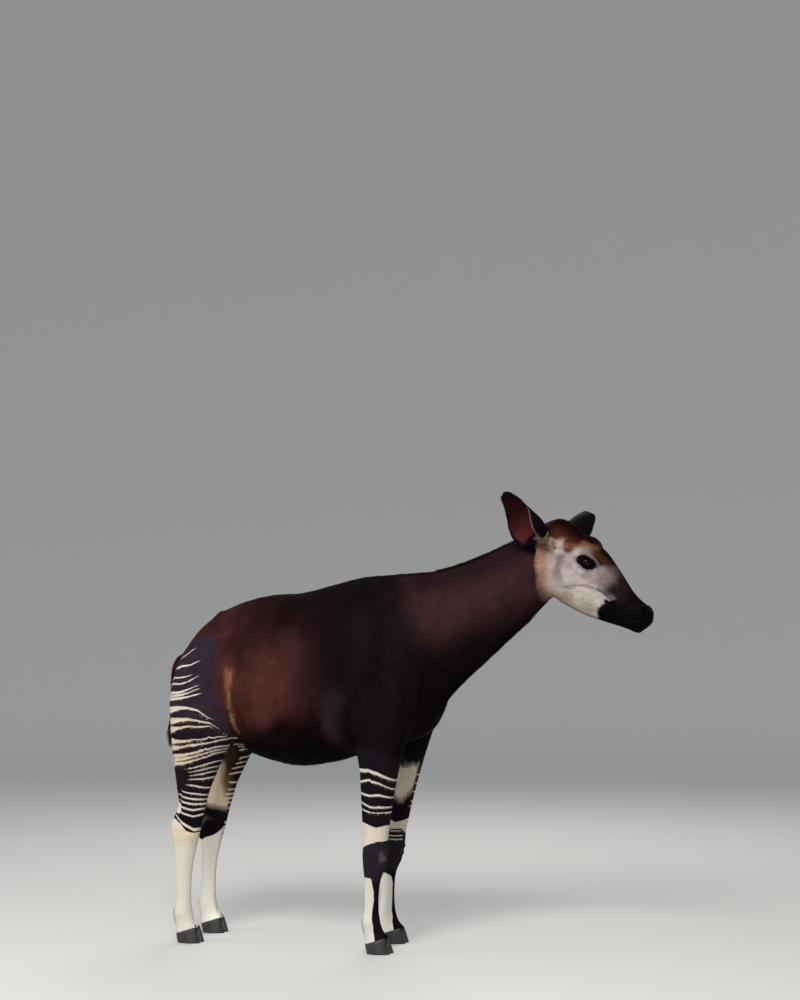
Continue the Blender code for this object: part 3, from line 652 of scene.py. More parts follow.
@dataclass
class Legs:
    """Four legs, from inside the shoulders and haunches down to the coronets."""

    stance: Stance
    coronet_front: float = 0.070
    coronet_heel: float = 0.040
    hoof_length: float = 0.094
    fore_hoof_x: float = -0.083
    hind_hoof_x: float = -0.905
    hem: float = 0.006
    strokes: tuple = (
        Stroke(((-0.130, 0.330), (-0.134, 0.230), (-0.136, 0.150)), 0.006, -0.0035),
        Stroke(((-0.106, 0.405),), 0.016, 0.003),
        Stroke(((-0.150, 0.376), (-0.080, 0.376)), 0.006, -0.0025),
        Stroke(((-0.106, 0.352),), 0.014, 0.0025),
        Stroke(((-0.150, 0.540), (-0.135, 0.440)), 0.008, -0.003),
        Stroke(((-0.130, 0.780), (-0.110, 0.620), (-0.118, 0.480)), 0.012, -0.003),
        Stroke(((-0.080, 0.780), (-0.070, 0.640)), 0.028, 0.004),
        Stroke(((-0.124, 0.118),), 0.018, 0.003),
        Stroke(((-0.952, 0.410), (-0.952, 0.290), (-0.953, 0.165)), 0.006, -0.0035),
        Stroke(((-0.940, 0.640), (-0.952, 0.560), (-0.962, 0.505)), 0.012, -0.008),
        Stroke(((-0.930, 0.462),), 0.020, 0.004),
        Stroke(((-0.905, 0.430),), 0.014, 0.003),
        Stroke(((-0.975, 0.446), (-0.895, 0.450)), 0.007, -0.002),
        Stroke(((-0.900, 0.780), (-0.900, 0.680), (-0.905, 0.580)), 0.026, 0.004),
        Stroke(((-0.850, 0.760), (-0.870, 0.640), (-0.890, 0.540)), 0.010, -0.003),
        Stroke(((-0.944, 0.118),), 0.018, 0.003),
    )

    def masses(self) -> list[Surface]:
        """The four legs as closed tubes."""
        return [self.leg(fore, side) for fore in (True, False) for side in Side]

    def slices(self, fore: bool) -> list[tuple]:
        """Stations of one leg: height, back, front, distance aside and half width."""
        if fore:
            return [
                (1.420, -0.140, -0.020, 0.040, 0.030),
                (1.300, -0.205, 0.045, 0.082, 0.062),
                (1.150, -0.232, 0.096, 0.116, 0.074),
                (1.000, -0.232, 0.092, 0.134, 0.076),
                (0.900, -0.218, 0.058, 0.142, 0.074),
                (0.810, -0.188, 0.022, 0.146, 0.068),
                (0.730, -0.170, 0.000, 0.145, 0.061),
                (0.620, -0.163, -0.024, 0.143, 0.054),
                (0.510, -0.160, -0.042, 0.138, 0.046),
                (0.440, -0.156, -0.052, 0.135, 0.043),
                (0.385, -0.160, -0.052, 0.135, 0.046),
                (0.340, -0.158, -0.062, 0.135, 0.041),
                (0.285, -0.153, -0.084, 0.135, 0.030),
                (0.210, -0.152, -0.091, 0.135, 0.026),
                (0.163, -0.154, -0.090, 0.135, 0.028),
                (0.118, -0.162, -0.084, 0.135, 0.037),
                (0.080, -0.152, -0.070, 0.135, 0.038),
                (0.046, -0.146, -0.044, 0.135, 0.049),
            ]
        return [
            (1.350, -0.830, -0.700, 0.040, 0.030),
            (1.260, -0.895, -0.650, 0.086, 0.076),
            (1.140, -0.972, -0.640, 0.118, 0.096),
            (1.010, -1.008, -0.655, 0.132, 0.100),
            (0.900, -1.003, -0.690, 0.136, 0.094),
            (0.800, -0.995, -0.742, 0.138, 0.080),
            (0.710, -0.984, -0.786, 0.138, 0.066),
            (0.620, -0.972, -0.826, 0.138, 0.053),
            (0.550, -0.966, -0.846, 0.138, 0.045),
            (0.507, -0.986, -0.856, 0.138, 0.042),
            (0.470, -1.002, -0.864, 0.138, 0.044),
            (0.430, -0.999, -0.874, 0.138, 0.045),
            (0.377, -0.988, -0.888, 0.138, 0.039),
            (0.290, -0.980, -0.905, 0.138, 0.031),
            (0.200, -0.978, -0.909, 0.138, 0.029),
            (0.158, -0.977, -0.908, 0.138, 0.030),
            (0.118, -0.986, -0.902, 0.138, 0.038),
            (0.080, -0.976, -0.890, 0.138, 0.038),
            (0.046, -0.968, -0.866, 0.138, 0.049),
        ]

    def coronet(self, x: Array, sole_x: float) -> Array:
        """Height of the top of the hooves at x, rising from heel to toe."""
        share = (x - sole_x) / self.hoof_length + 0.5
        return self.coronet_heel + (self.coronet_front - self.coronet_heel) * share

    def leg(self, fore: bool, side: Side) -> Surface:
        """One leg: ellipses through its slices, the lowest tilted onto the coronet.

        x = middle + half length cos a and y = aside + half width sign(sin a) |sin a|^0.9. Below the
        pastern the height bends towards the coronet's slope, less a hem that covers the hoof's edge.
        """
        rows = smooth_rows(self.slices(fore), 130)[:, None, :]
        angle = np.linspace(0.0, 2 * math.pi, 48, endpoint=False)[None, :]
        height, back, front, aside, half = (rows[..., k] for k in range(5))
        shift = self.stance.shift(height, self.stance.set_back(fore, side))
        x = shift + (front + back) / 2 + (front - back) / 2 * np.cos(angle)
        y = side.value * aside + half * np.sign(np.sin(angle)) * np.abs(np.sin(angle)) ** 0.9
        sole = (self.fore_hoof_x if fore else self.hind_hoof_x) - self.stance.set_back(fore, side)
        low = float(height.min())
        tilt = 1.0 - ease(low, low + 0.060, height)
        z = height + tilt * (self.coronet(x, sole) - self.hem - low)
        return tube(np.stack([x, y, z], -1))

    def lift(self, flat: Array, points: Array, normals: Array) -> Array:
        """Height of bones, tendons and the cleft between the toes."""
        aside = ease(0.3, 0.8, np.abs(normals[:, 1]))
        total = sum(stroke.lift(flat) for stroke in self.strokes) * aside
        stand = np.where(flat[:, 0] > -0.5, self.stance.fore, self.stance.hind)
        off = np.abs(np.abs(points[:, 1]) - stand)
        ends = ease(0.35, 0.8, np.abs(normals[:, 0]))
        cleft = -0.007 * bell(off, 0.005) * ease(0.115, 0.075, points[:, 2]) * ends
        forward = ease(0.3, 0.8, normals[:, 0])
        knee = 0.0022 * np.cos((flat[:, 1] - 0.392) / 0.030 * 2 * math.pi) * bell(flat[:, 1] - 0.378, 0.035)
        knee = knee * forward * (flat[:, 0] > -0.5)
        crest = 0.003 * bell(off, 0.012) * bell(flat[:, 1] - 0.300, 0.120) * forward
        return total + cleft + knee + crest


FAR_EAR = (
    (0.00, 0.62, 0.62, 2.65, 2.65),
    (0.12, 1.10, 1.10, 2.40, 2.00),
    (0.30, 1.45, 1.30, 1.90, 1.50),
    (0.48, 1.35, 1.20, 1.55, 1.20),
    (0.66, 1.15, 1.05, 1.25, 1.00),
    (0.82, 0.95, 0.90, 1.00, 0.90),
    (0.93, 0.70, 0.68, 0.80, 0.80),
    (1.00, 0.26, 0.26, 0.60, 0.60),
)


@dataclass
class EarShape:
    """One ear: a broad leaf rolled into a tube at its root and opening to a shallow cup."""

    side: Side
    root: tuple
    tip: tuple
    opening: tuple
    half_width: float = 0.078
    wall: float = 0.0042
    rows: tuple = (
        (0.00, 0.62, 0.62, 2.65, 2.65),
        (0.12, 1.55, 1.36, 2.60, 1.50),
        (0.30, 1.80, 1.50, 2.55, 1.12),
        (0.44, 1.45, 1.36, 2.25, 1.00),
        (0.56, 0.98, 1.10, 1.65, 0.90),
        (0.68, 0.64, 0.86, 1.10, 0.80),
        (0.82, 0.48, 0.58, 0.80, 0.70),
        (0.93, 0.34, 0.40, 0.62, 0.60),
        (1.00, 0.12, 0.12, 0.50, 0.50),
    )

    def length(self) -> float:
        """Distance from root to tip."""
        return float(np.linalg.norm(np.array(self.tip) - np.array(self.root)))

    def matrix(self) -> Array:
        """Columns: along the ear, across it, and out of its opening."""
        along = unit(np.array(self.tip) - np.array(self.root))
        opening = np.array(self.opening)
        out = unit(opening - along * (opening @ along))
        return np.stack([along, np.cross(out, along), out], 1)

    def local(self, points: Array) -> Array:
        """Points of the layout in the ear's frame."""
        return (points - np.array(self.root)) @ self.matrix()

    def roll(self, share: Array, swing: Array) -> tuple[Array, Array, Array]:
        """Radius, roll and rise of the leaf at a share of its length, for its front or rear half."""
        table = smooth_rows(self.rows, 160)
        columns = [np.interp(share, table[:, 0], table[:, k]) for k in range(1, 5)]
        front = swing * self.side.value > 0
        width = np.where(front, columns[0], columns[1])
        roll = np.where(front, columns[2], columns[3])
        radius = self.half_width * width / roll
        rise = radius - 0.020 * (1.0 - share) - 0.016 * np.sin(math.pi * np.clip(share, 0, 1))
        return radius, roll, rise

    def surface(self, rings: int = 66, sides: int = 35) -> Surface:
        """The leaf: outer and inner arcs (share * length, r sin a, rise - r cos a), a = roll * swing.

        The wall thins towards the rim and the tip and fills the tube at the root. Three soft pleats
        run along the inside, and the rim waves a little.
        """
        share = np.linspace(0.0, 1.0, rings)[:, None] + np.zeros((1, sides))
        swing = np.linspace(-1.0, 1.0, sides)[None, :] + np.zeros((rings, 1))
        radius, roll, rise = self.roll(share, swing)
        solid = np.clip(1.0 - share / 0.18, 0.0, 1.0)
        rim = np.clip((1.0 - np.abs(swing)) / 0.16, 0.0, 1.0) ** 0.5
        wall = self.wall * (1.0 - 0.45 * share) * (0.30 + 0.70 * rim)
        wall = np.minimum(np.maximum(wall, 0.9 * radius * solid), 0.9 * radius)
        angle = roll * swing
        wave = 0.0012 * np.sin(share * 21.0 + swing * 2.0) * np.abs(swing) ** 6 * ease(0.15, 0.4, share)
        pleats = np.cos(swing * 9.5) * bell(swing, 0.75) * ease(0.06, 0.2, share) * ease(0.95, 0.6, share)
        sheets = []
        for inner in (False, True):
            r = radius - 0.0008 + wave
            if inner:
                r = r - wall - 0.0016 * pleats * (1 - solid)
            grid = [share * self.length(), r * np.sin(angle), rise - r * np.cos(angle)]
            sheets.append(np.stack(grid, -1))
        rings_around = np.concatenate([sheets[0], sheets[1][:, ::-1]], axis=1)
        return tube(rings_around @ self.matrix().T + np.array(self.root))

    def plug(self) -> Surface:
        """The fleshy root that carries the ear's tube on the head."""
        centre = np.array(self.root) - self.matrix()[:, 0] * 0.004
        return ball(centre, (0.036, 0.024, 0.024), self.matrix())

    def place(self, points: Array) -> tuple[Array, Array, Array, Array]:
        """Share of the length, swing, whether inside the cup, and distance from the leaf."""
        q = self.local(points)
        share = q[:, 0] / self.length()
        held = np.clip(share, 0.0, 1.0)
        swing = np.sign(q[:, 1])
        radius, roll, rise = self.roll(held, swing)
        angle = np.arctan2(q[:, 1], rise - q[:, 2])
        r = np.hypot(q[:, 1], rise - q[:, 2])
        inside = r < radius - self.wall * 0.45
        return share, angle / roll, inside, np.abs(r - radius + self.wall * 0.4)


@dataclass
class EyeShape:
    """One eye and its lids, in the head's frame."""

    side: Side
    head: HeadFrame
    radius: float = 0.0225
    along: float = 0.198
    aside: float = 0.0660
    above: float = 0.060
    lid: float = 0.0040
    half_long: float = 0.0222
    half_high: float = 0.0160

    def centre(self) -> Array:
        """Centre of the eyeball in the head's frame."""
        return np.array([self.along, self.side.value * self.aside, self.above])

    def axes(self) -> Array:
        """Columns: along the lids towards the nose, up across them, and out of the opening."""
        outward = unit(np.array([0.30, self.side.value * 0.95, 0.10]))
        along = np.array([1.0, 0.0, -0.10])
        up = unit(np.cross(outward, along)) * -self.side.value
        return np.stack([np.cross(up, outward) * -self.side.value, up, outward], 1)

    def local(self, head_points: Array) -> Array:
        """Points of the head's frame in the eye's frame."""
        return (head_points - self.centre()) @ self.axes()

    def opening(self, x: Array, y: Array) -> Array:
        """Almond of the lids: below 0 inside.

        y limit = half_high * (1 - |x / half_long|^2.2), the front corner drawn out towards the nose
        and the upper lid more arched than the lower.
        """
        reach = np.where(x > 0, self.half_long * 1.16, self.half_long)
        arch = np.where(y > 0, self.half_high, self.half_high * 0.88)
        bow = np.clip(1.0 - np.abs(x / reach) ** 2.2, -4.0, 1.0)
        return np.abs(y) - arch * bow

    def sculpt(self, q: Array) -> Array:
        """Sets lids over the ball and opens them.

        With rho the distance from the line of sight, the lid stands at sqrt((radius + lid)^2 - rho^2)
        and inside the almond the skin sinks behind the ball. Folds run round the lids.

        Args:
            q: points in the eye's frame.

        Returns:
            The moved points.
        """
        x, y, z = q.T
        rho = np.hypot(x, y)
        near = rho < 0.060
        gap = self.opening(x, y)
        shell = self.radius + self.lid
        cap = np.sqrt(np.clip(shell**2 - rho**2, 0.0, None))
        fade = ease(0.0285, 0.0235, rho)
        lifted = np.maximum(z, cap * fade + z * (1 - fade))
        z_new = np.where(rho < 0.0300, lifted, z)
        ellipse = np.hypot(x / 1.30, y)
        fold = -0.0026 * bell(ellipse - 0.0215, 0.0020) * ease(-0.004, 0.006, y)
        fold += -0.0014 * bell(ellipse - 0.0255, 0.0020) * ease(-0.002, 0.008, y)
        fold += -0.0018 * bell(ellipse - 0.0205, 0.0018) * ease(0.002, -0.006, y)
        fold += -0.0012 * bell(ellipse - 0.0260, 0.0022) * ease(0.004, -0.006, y)
        margin = 0.0006 * bell(gap - 0.0012, 0.0012)
        duct, _ = path_distance(np.stack([x, y], 1), ((0.0240, -0.001), (0.0330, -0.006), (0.0420, -0.013)))
        crease = -0.0016 * bell(duct, 0.0022)
        z_new = z_new + fold * (gap > 0) + margin * (gap > 0) + crease
        ball_z = np.sqrt(np.clip(self.radius**2 - rho**2, 0.0, None)) - 0.0065
        z_new = np.where((gap < 0) & (rho < 0.0290), np.minimum(z_new, ball_z), z_new)
        return np.where(near[:, None], np.stack([x, y, z_new], 1), q)


@dataclass
class Head:
    """Skull, muzzle, jaw, lids, nostrils, lips and ears."""

    frame: HeadFrame
    nostril: tuple = (0.490, 0.034, 0.036)
    ears: dict = field(default_factory=dict)
    eyes: dict = field(default_factory=dict)
    strokes: tuple = (
        Stroke(((0.175, -0.082), (0.205, -0.048), (0.245, -0.018), (0.285, -0.006), (0.330, 0.000), (0.362, 0.010)), 0.0042, -0.0042, 0.10),
        Stroke(((0.200, -0.068), (0.245, -0.036), (0.290, -0.022), (0.335, -0.016)), 0.016, 0.0035),
        Stroke(((0.150, 0.018), (0.205, 0.010), (0.260, 0.020), (0.310, 0.034)), 0.011, 0.0028),
        Stroke(((0.060, 0.030), (0.110, 0.014), (0.160, 0.020)), 0.012, 0.0030),
        Stroke(((0.062, 0.040),), 0.016, -0.0060),
        Stroke(((0.105, 0.060),), 0.026, -0.0040),
        Stroke(((0.010, 0.010), (0.030, -0.050), (0.060, -0.105), (0.105, -0.150)), 0.012, 0.0042),
        Stroke(((-0.012, 0.000), (0.006, -0.060), (0.040, -0.125), (0.090, -0.172)), 0.016, -0.0060),
        Stroke(((0.120, -0.020), (0.150, -0.060), (0.185, -0.095)), 0.010, -0.0026),
        Stroke(((0.262, -0.110), (0.300, -0.098), (0.345, -0.078)), 0.009, -0.0026),
        Stroke(((0.240, -0.070), (0.290, -0.058), (0.330, -0.045)), 0.018, 0.0034),
        Stroke(((0.300, 0.052), (0.350, 0.030), (0.400, 0.012)), 0.010, -0.0022),
        Stroke(((0.345, -0.020), (0.352, -0.036), (0.366, -0.048)), 0.0030, -0.0024),
        Stroke(((0.338, -0.012), (0.340, -0.030), (0.350, -0.046)), 0.0030, -0.0018),
        Stroke(((0.372, 0.002), (0.410, -0.004), (0.450, 0.002)), 0.0060, 0.0020),
        Stroke(((0.400, 0.040), (0.440, 0.034), (0.468, 0.034)), 0.0080, -0.0016),
        Stroke(((0.150, 0.100), (0.190, 0.102), (0.230, 0.094)), 0.0100, 0.0026),
        Stroke(((0.060, 0.090), (0.100, 0.102), (0.135, 0.098)), 0.0120, -0.0026),
    )
    lip_rows: tuple = (
        (0.345, 0.054, -0.019),
        (0.372, 0.050, -0.019),
        (0.410, 0.047, -0.024),
        (0.456, 0.043, -0.017),
        (0.492, 0.036, -0.003),
        (0.516, 0.022, 0.006),
    )

    def __post_init__(self) -> None:
        """Sets the two ears and the two eyes."""
        self.ears = {
            Side.RIGHT: EarShape(Side.RIGHT, (0.576, -0.068, 1.628), (0.445, -0.180, 1.806), (-0.05, -0.84, -0.54)),
            Side.LEFT: EarShape(Side.LEFT, (0.606, 0.070, 1.606), (0.661, 0.218, 1.749), (0.27, 0.54, -0.79), rows=FAR_EAR),
        }
        self.eyes = {side: EyeShape(side, self.frame) for side in Side}

    def masses(self) -> list[Surface]:
        """Skull, muzzle and jaw, cheeks, brows, horn knobs, lips and ear roots."""
        skull = [
            (-0.085, 0.030, -0.060, -0.060, 0.040, 0.50, 1.00, 1.00),
            (-0.047, 0.086, -0.015, -0.092, 0.062, 0.60, 1.00, 1.00),
            (-0.020, 0.118, 0.045, -0.112, 0.074, 0.62, 1.00, 1.00),
            (0.012, 0.134, 0.085, -0.127, 0.080, 0.62, 1.00, 1.10),
            (0.055, 0.138, 0.120, -0.136, 0.083, 0.62, 1.00, 1.20),
            (0.100, 0.134, 0.155, -0.144, 0.084, 0.62, 1.00, 1.25),
            (0.150, 0.133, 0.195, -0.142, 0.083, 0.62, 1.00, 1.30),
            (0.205, 0.132, 0.240, -0.136, 0.077, 0.60, 1.05, 1.30),
            (0.270, 0.116, 0.290, -0.126, 0.066, 0.56, 1.10, 1.20),
            (0.335, 0.093, 0.345, -0.108, 0.055, 0.52, 1.10, 1.10),
            (0.400, 0.067, 0.400, -0.088, 0.047, 0.50, 1.00, 1.00),
            (0.440, 0.059, 0.440, -0.073, 0.044, 0.50, 0.90, 0.95),
            (0.480, 0.055, 0.478, -0.060, 0.042, 0.52, 0.85, 0.95),
            (0.508, 0.047, 0.504, -0.047, 0.036, 0.52, 0.85, 0.95),
            (0.523, 0.031, 0.518, -0.033, 0.026, 0.52, 0.90, 1.00),
            (0.530, 0.010, 0.526, -0.012, 0.012, 0.50, 1.00, 1.00),
        ]
        parts = [tube(self.frame.world(midline_tube(skull, 130, 90)))]
        turn = self.frame.matrix()
        for side in Side:
            s = side.value
            for centre, radii in (
                ((0.120, s * 0.040, -0.050), (0.105, 0.042, 0.085)),
                ((0.184, s * 0.055, 0.088), (0.064, 0.030, 0.022)),
                ((0.215, s * 0.052, 0.022), (0.070, 0.022, 0.018)),
                ((0.152, s * 0.028, 0.120), (0.044, 0.030, 0.022)),
                ((0.008, s * 0.050, 0.052), (0.046, 0.028, 0.046)),
                ((0.484, s * 0.024, 0.034), (0.030, 0.018, 0.020)),
                ((0.448, s * 0.026, -0.004), (0.062, 0.020, 0.020)),
            ):
                parts.append(ball(self.frame.world(np.array(centre)), radii, turn))
            parts.append(self.ears[side].plug())
        for centre, radii in (((0.040, 0.0, 0.100), (0.066, 0.060, 0.036)), ((0.474, 0.0, -0.042), (0.044, 0.030, 0.019))):
            parts.append(ball(self.frame.world(np.array(centre)), radii, turn))
        return parts

    def lip_line(self) -> Array:
        """Centre line of the mouth from one corner round the front to the other."""
        half = [row for row in self.lip_rows]
        right = [(a, -s, h) for a, s, h in half]
        return smooth_rows(right + [(0.526, 0.0, 0.008)] + half[::-1], 61)

    def nostril_gap(self, q: Array, side: Side) -> Array:
        """Signed distance to a slanting comma: below 0 in the slot, in the head's side view."""
        a, s, h = self.nostril
        path = ((a - 0.013, h + 0.011), (a - 0.002, h + 0.004), (a + 0.010, h - 0.006))
        away, share = path_distance(q[:, [0, 2]], path)
        gap = away - (0.0020 + 0.0026 * share)
        return np.where(q[:, 1] * side.value > 0.012, gap, 0.05)

    def sculpt(self, surface: Surface) -> Surface:
        """Moves the skin of the head for folds, lids, nostrils and lips.

        Args:
            surface: the whole skin, already fine here.

        Returns:
            The same surface with the head's points moved.
        """
        q = self.frame.local(surface.points)
        here = (q[:, 0] > -0.14) & (q[:, 0] < 0.60) & (np.abs(q[:, 2]) < 0.24) & (surface.points[:, 0] > 0.35)
        normals = surface.normals() @ self.frame.matrix()
        lift = sum(stroke.lift(q[:, [0, 2]]) for stroke in self.strokes)
        lift = lift * ease(0.25, 0.7, np.abs(normals[:, 1]))
        away, share = path_distance(q, self.lip_line())
        middle = self.lip_line()
        level = np.interp(q[:, 0], middle[:31, 0], middle[:31, 2])
        over = ease(-0.002, 0.002, q[:, 2] - level)
        corner = ease(0.0, 0.06, share) * ease(0.0, 0.06, 1 - share)
        lips = -0.0062 * bell(away, 0.0020) * (0.4 + 0.6 * corner)
        lips += 0.0020 * bell(away - 0.0060, 0.0040) * over * corner
        lips += 0.0013 * bell(away - 0.0070, 0.0035) * (1 - over) * corner
        front = ease(0.5, 0.9, normals[:, 0])
        groove = -0.0022 * bell(q[:, 1], 0.0022) * front * ease(0.004, 0.012, q[:, 2]) * ease(0.036, 0.028, q[:, 2])
        lift = lift + lips + groove
        for side in Side:
            gap = self.nostril_gap(q, side)
            lift = lift + 0.0026 * bell(gap - 0.0035, 0.0030) - 0.0135 * ease(0.0012, -0.0016, gap)
        moved = q + normals * (lift * here)[:, None]
        for eye in self.eyes.values():
            local = eye.local(moved)
            facing = (local[:, 2] > -0.012) & here
            shaped = eye.sculpt(local) @ eye.axes().T + eye.centre()
            moved = np.where(facing[:, None], shaped, moved)
        points = np.where(here[:, None], self.frame.world(moved), surface.points)
        return Surface(points, surface.faces)


# The unwrap of the skin's own shape


@dataclass
class Unwrap:
    """Charts of the skin: along and around each region, side by side on one sheet."""

    stance: Stance
    legs: Legs
    head: Head
    charts: dict = field(
        default_factory=lambda: {
            Region.TORSO: (0.00, 1.00, 0.61, 1.00),
            Region.NECK: (0.00, 0.42, 0.31, 0.60),
            Region.HEAD: (0.43, 1.00, 0.31, 0.60),
            Region.FORE_RIGHT: (0.00, 0.15, 0.00, 0.30),
            Region.FORE_LEFT: (0.16, 0.31, 0.00, 0.30),
            Region.HIND_RIGHT: (0.32, 0.52, 0.00, 0.30),
            Region.HIND_LEFT: (0.53, 0.73, 0.00, 0.30),
            Region.EAR_RIGHT: (0.74, 0.86, 0.00, 0.30),
            Region.EAR_LEFT: (0.87, 0.99, 0.00, 0.30),
        }
    )

    def along_around(self, region: Region, points: Array) -> tuple[Array, Array]:
        """Share along a region and share round it, 0.5 being its top or its outer side.

        The share round is 0.5 + angle / 2 pi about the region's own axis. Rump, breast and nose
        are wrapped as domes, along = end + radius * atan2(past the end, distance from the axis).
        """
        x, y, z = points.T
        if region is Region.TORSO:
            rho = np.hypot(y, z - 1.10)
            angle = np.arctan2(y, z - 1.10)
            along = np.where(x < -0.75, -0.75 - 0.30 * np.arctan2(-(x + 0.75), rho), x)
            along = np.where(x > 0.05, 0.05 + 0.30 * np.arctan2(x - 0.05, rho), along)
            return (along + 1.23) / 1.76, 0.5 + angle / (2 * math.pi)
        if region is Region.NECK:
            axis = unit(np.array([0.50, 0.0, 0.30]))
            rise = (x - 0.05) * -axis[2] + (z - 1.23) * axis[0]
            along = self.stance.beyond(points, self.stance.neck_cut)
            return (along + 0.08) / 0.62, 0.5 + np.arctan2(y, rise) / (2 * math.pi)
        if region is Region.HEAD:
            a, s, h = self.head.frame.local(points).T
            rho = np.hypot(s, h)
            along = np.where(a > 0.46, 0.46 + 0.06 * np.arctan2(a - 0.46, rho), a)
            return (along + 0.13) / 0.70, 0.5 + np.arctan2(s, h) / (2 * math.pi)
        if region in (Region.EAR_RIGHT, Region.EAR_LEFT):
            side = Side.RIGHT if region is Region.EAR_RIGHT else Side.LEFT
            share, swing, inside, _ = self.head.ears[side].place(points)
            sheet = 0.25 + 0.20 * np.clip(swing, -1.15, 1.15)
            return (share + 0.15) / 1.25, sheet + 0.5 * inside
        fore = region in (Region.FORE_RIGHT, Region.FORE_LEFT)
        side = Side.RIGHT if region in (Region.FORE_RIGHT, Region.HIND_RIGHT) else Side.LEFT
        rows = smooth_rows(self.legs.slices(fore), 120)[::-1]
        back, front, aside = (np.interp(z, rows[:, 0], rows[:, k]) for k in (1, 2, 3))
        centre = (back + front) / 2 + self.stance.shift(z, self.stance.set_back(fore, side))
        angle = np.arctan2(x - centre, y * side.value - aside)
        return (z - 0.02) / 1.10, 0.5 + angle / (2 * math.pi)

    def sheet(self, region: Region, along: Array, around: Array) -> Array:
        """Places on the sheet, with a margin round each chart for what crosses its seam."""
        left, right, low, high = self.charts[region]
        u = left + (right - left) * (0.06 + 0.88 * around)
        v = low + (high - low) * np.clip(0.02 + 0.96 * along, 0.005, 0.995)
        return np.stack([u, v], -1)

    def corners(self, surface: Surface, labels: Array) -> Array:
        """Places of the three corners of every triangle.

        A corner whose share round is more than half a turn from the first one's is brought over
        the seam, so that no triangle is drawn right across a chart.

        Args:
            surface: the skin.
            labels: the region of each triangle.

        Returns:
            An array (triangles, 3, 2).
        """
        out = np.zeros((len(surface.faces), 3, 2))
        for region in Region:
            mine = labels == region
            if mine.any():
                corners = surface.points[surface.faces[mine]]
                along, around = self.along_around(region, corners.reshape(-1, 3))
                along, around = along.reshape(-1, 3), around.reshape(-1, 3)
                if region in (Region.EAR_RIGHT, Region.EAR_LEFT):
                    sheet = np.where(around > 0.5, 0.5, 0.0)
                    most = (sheet.sum(axis=1) > 0.6)[:, None] * 0.5
                    around = around - sheet + most
                else:
                    around = around - np.round(around - around[:, :1])
                out[mine] = self.sheet(region, along, around)
        return out

    def roots(self, points: Array, labels: Array) -> Array:
        """Places of single points."""
        out = np.zeros((len(points), 2))
        for region in Region:
            mine = labels == region
            if mine.any():
                out[mine] = self.sheet(region, *self.along_around(region, points[mine]))
        return out


# Markings


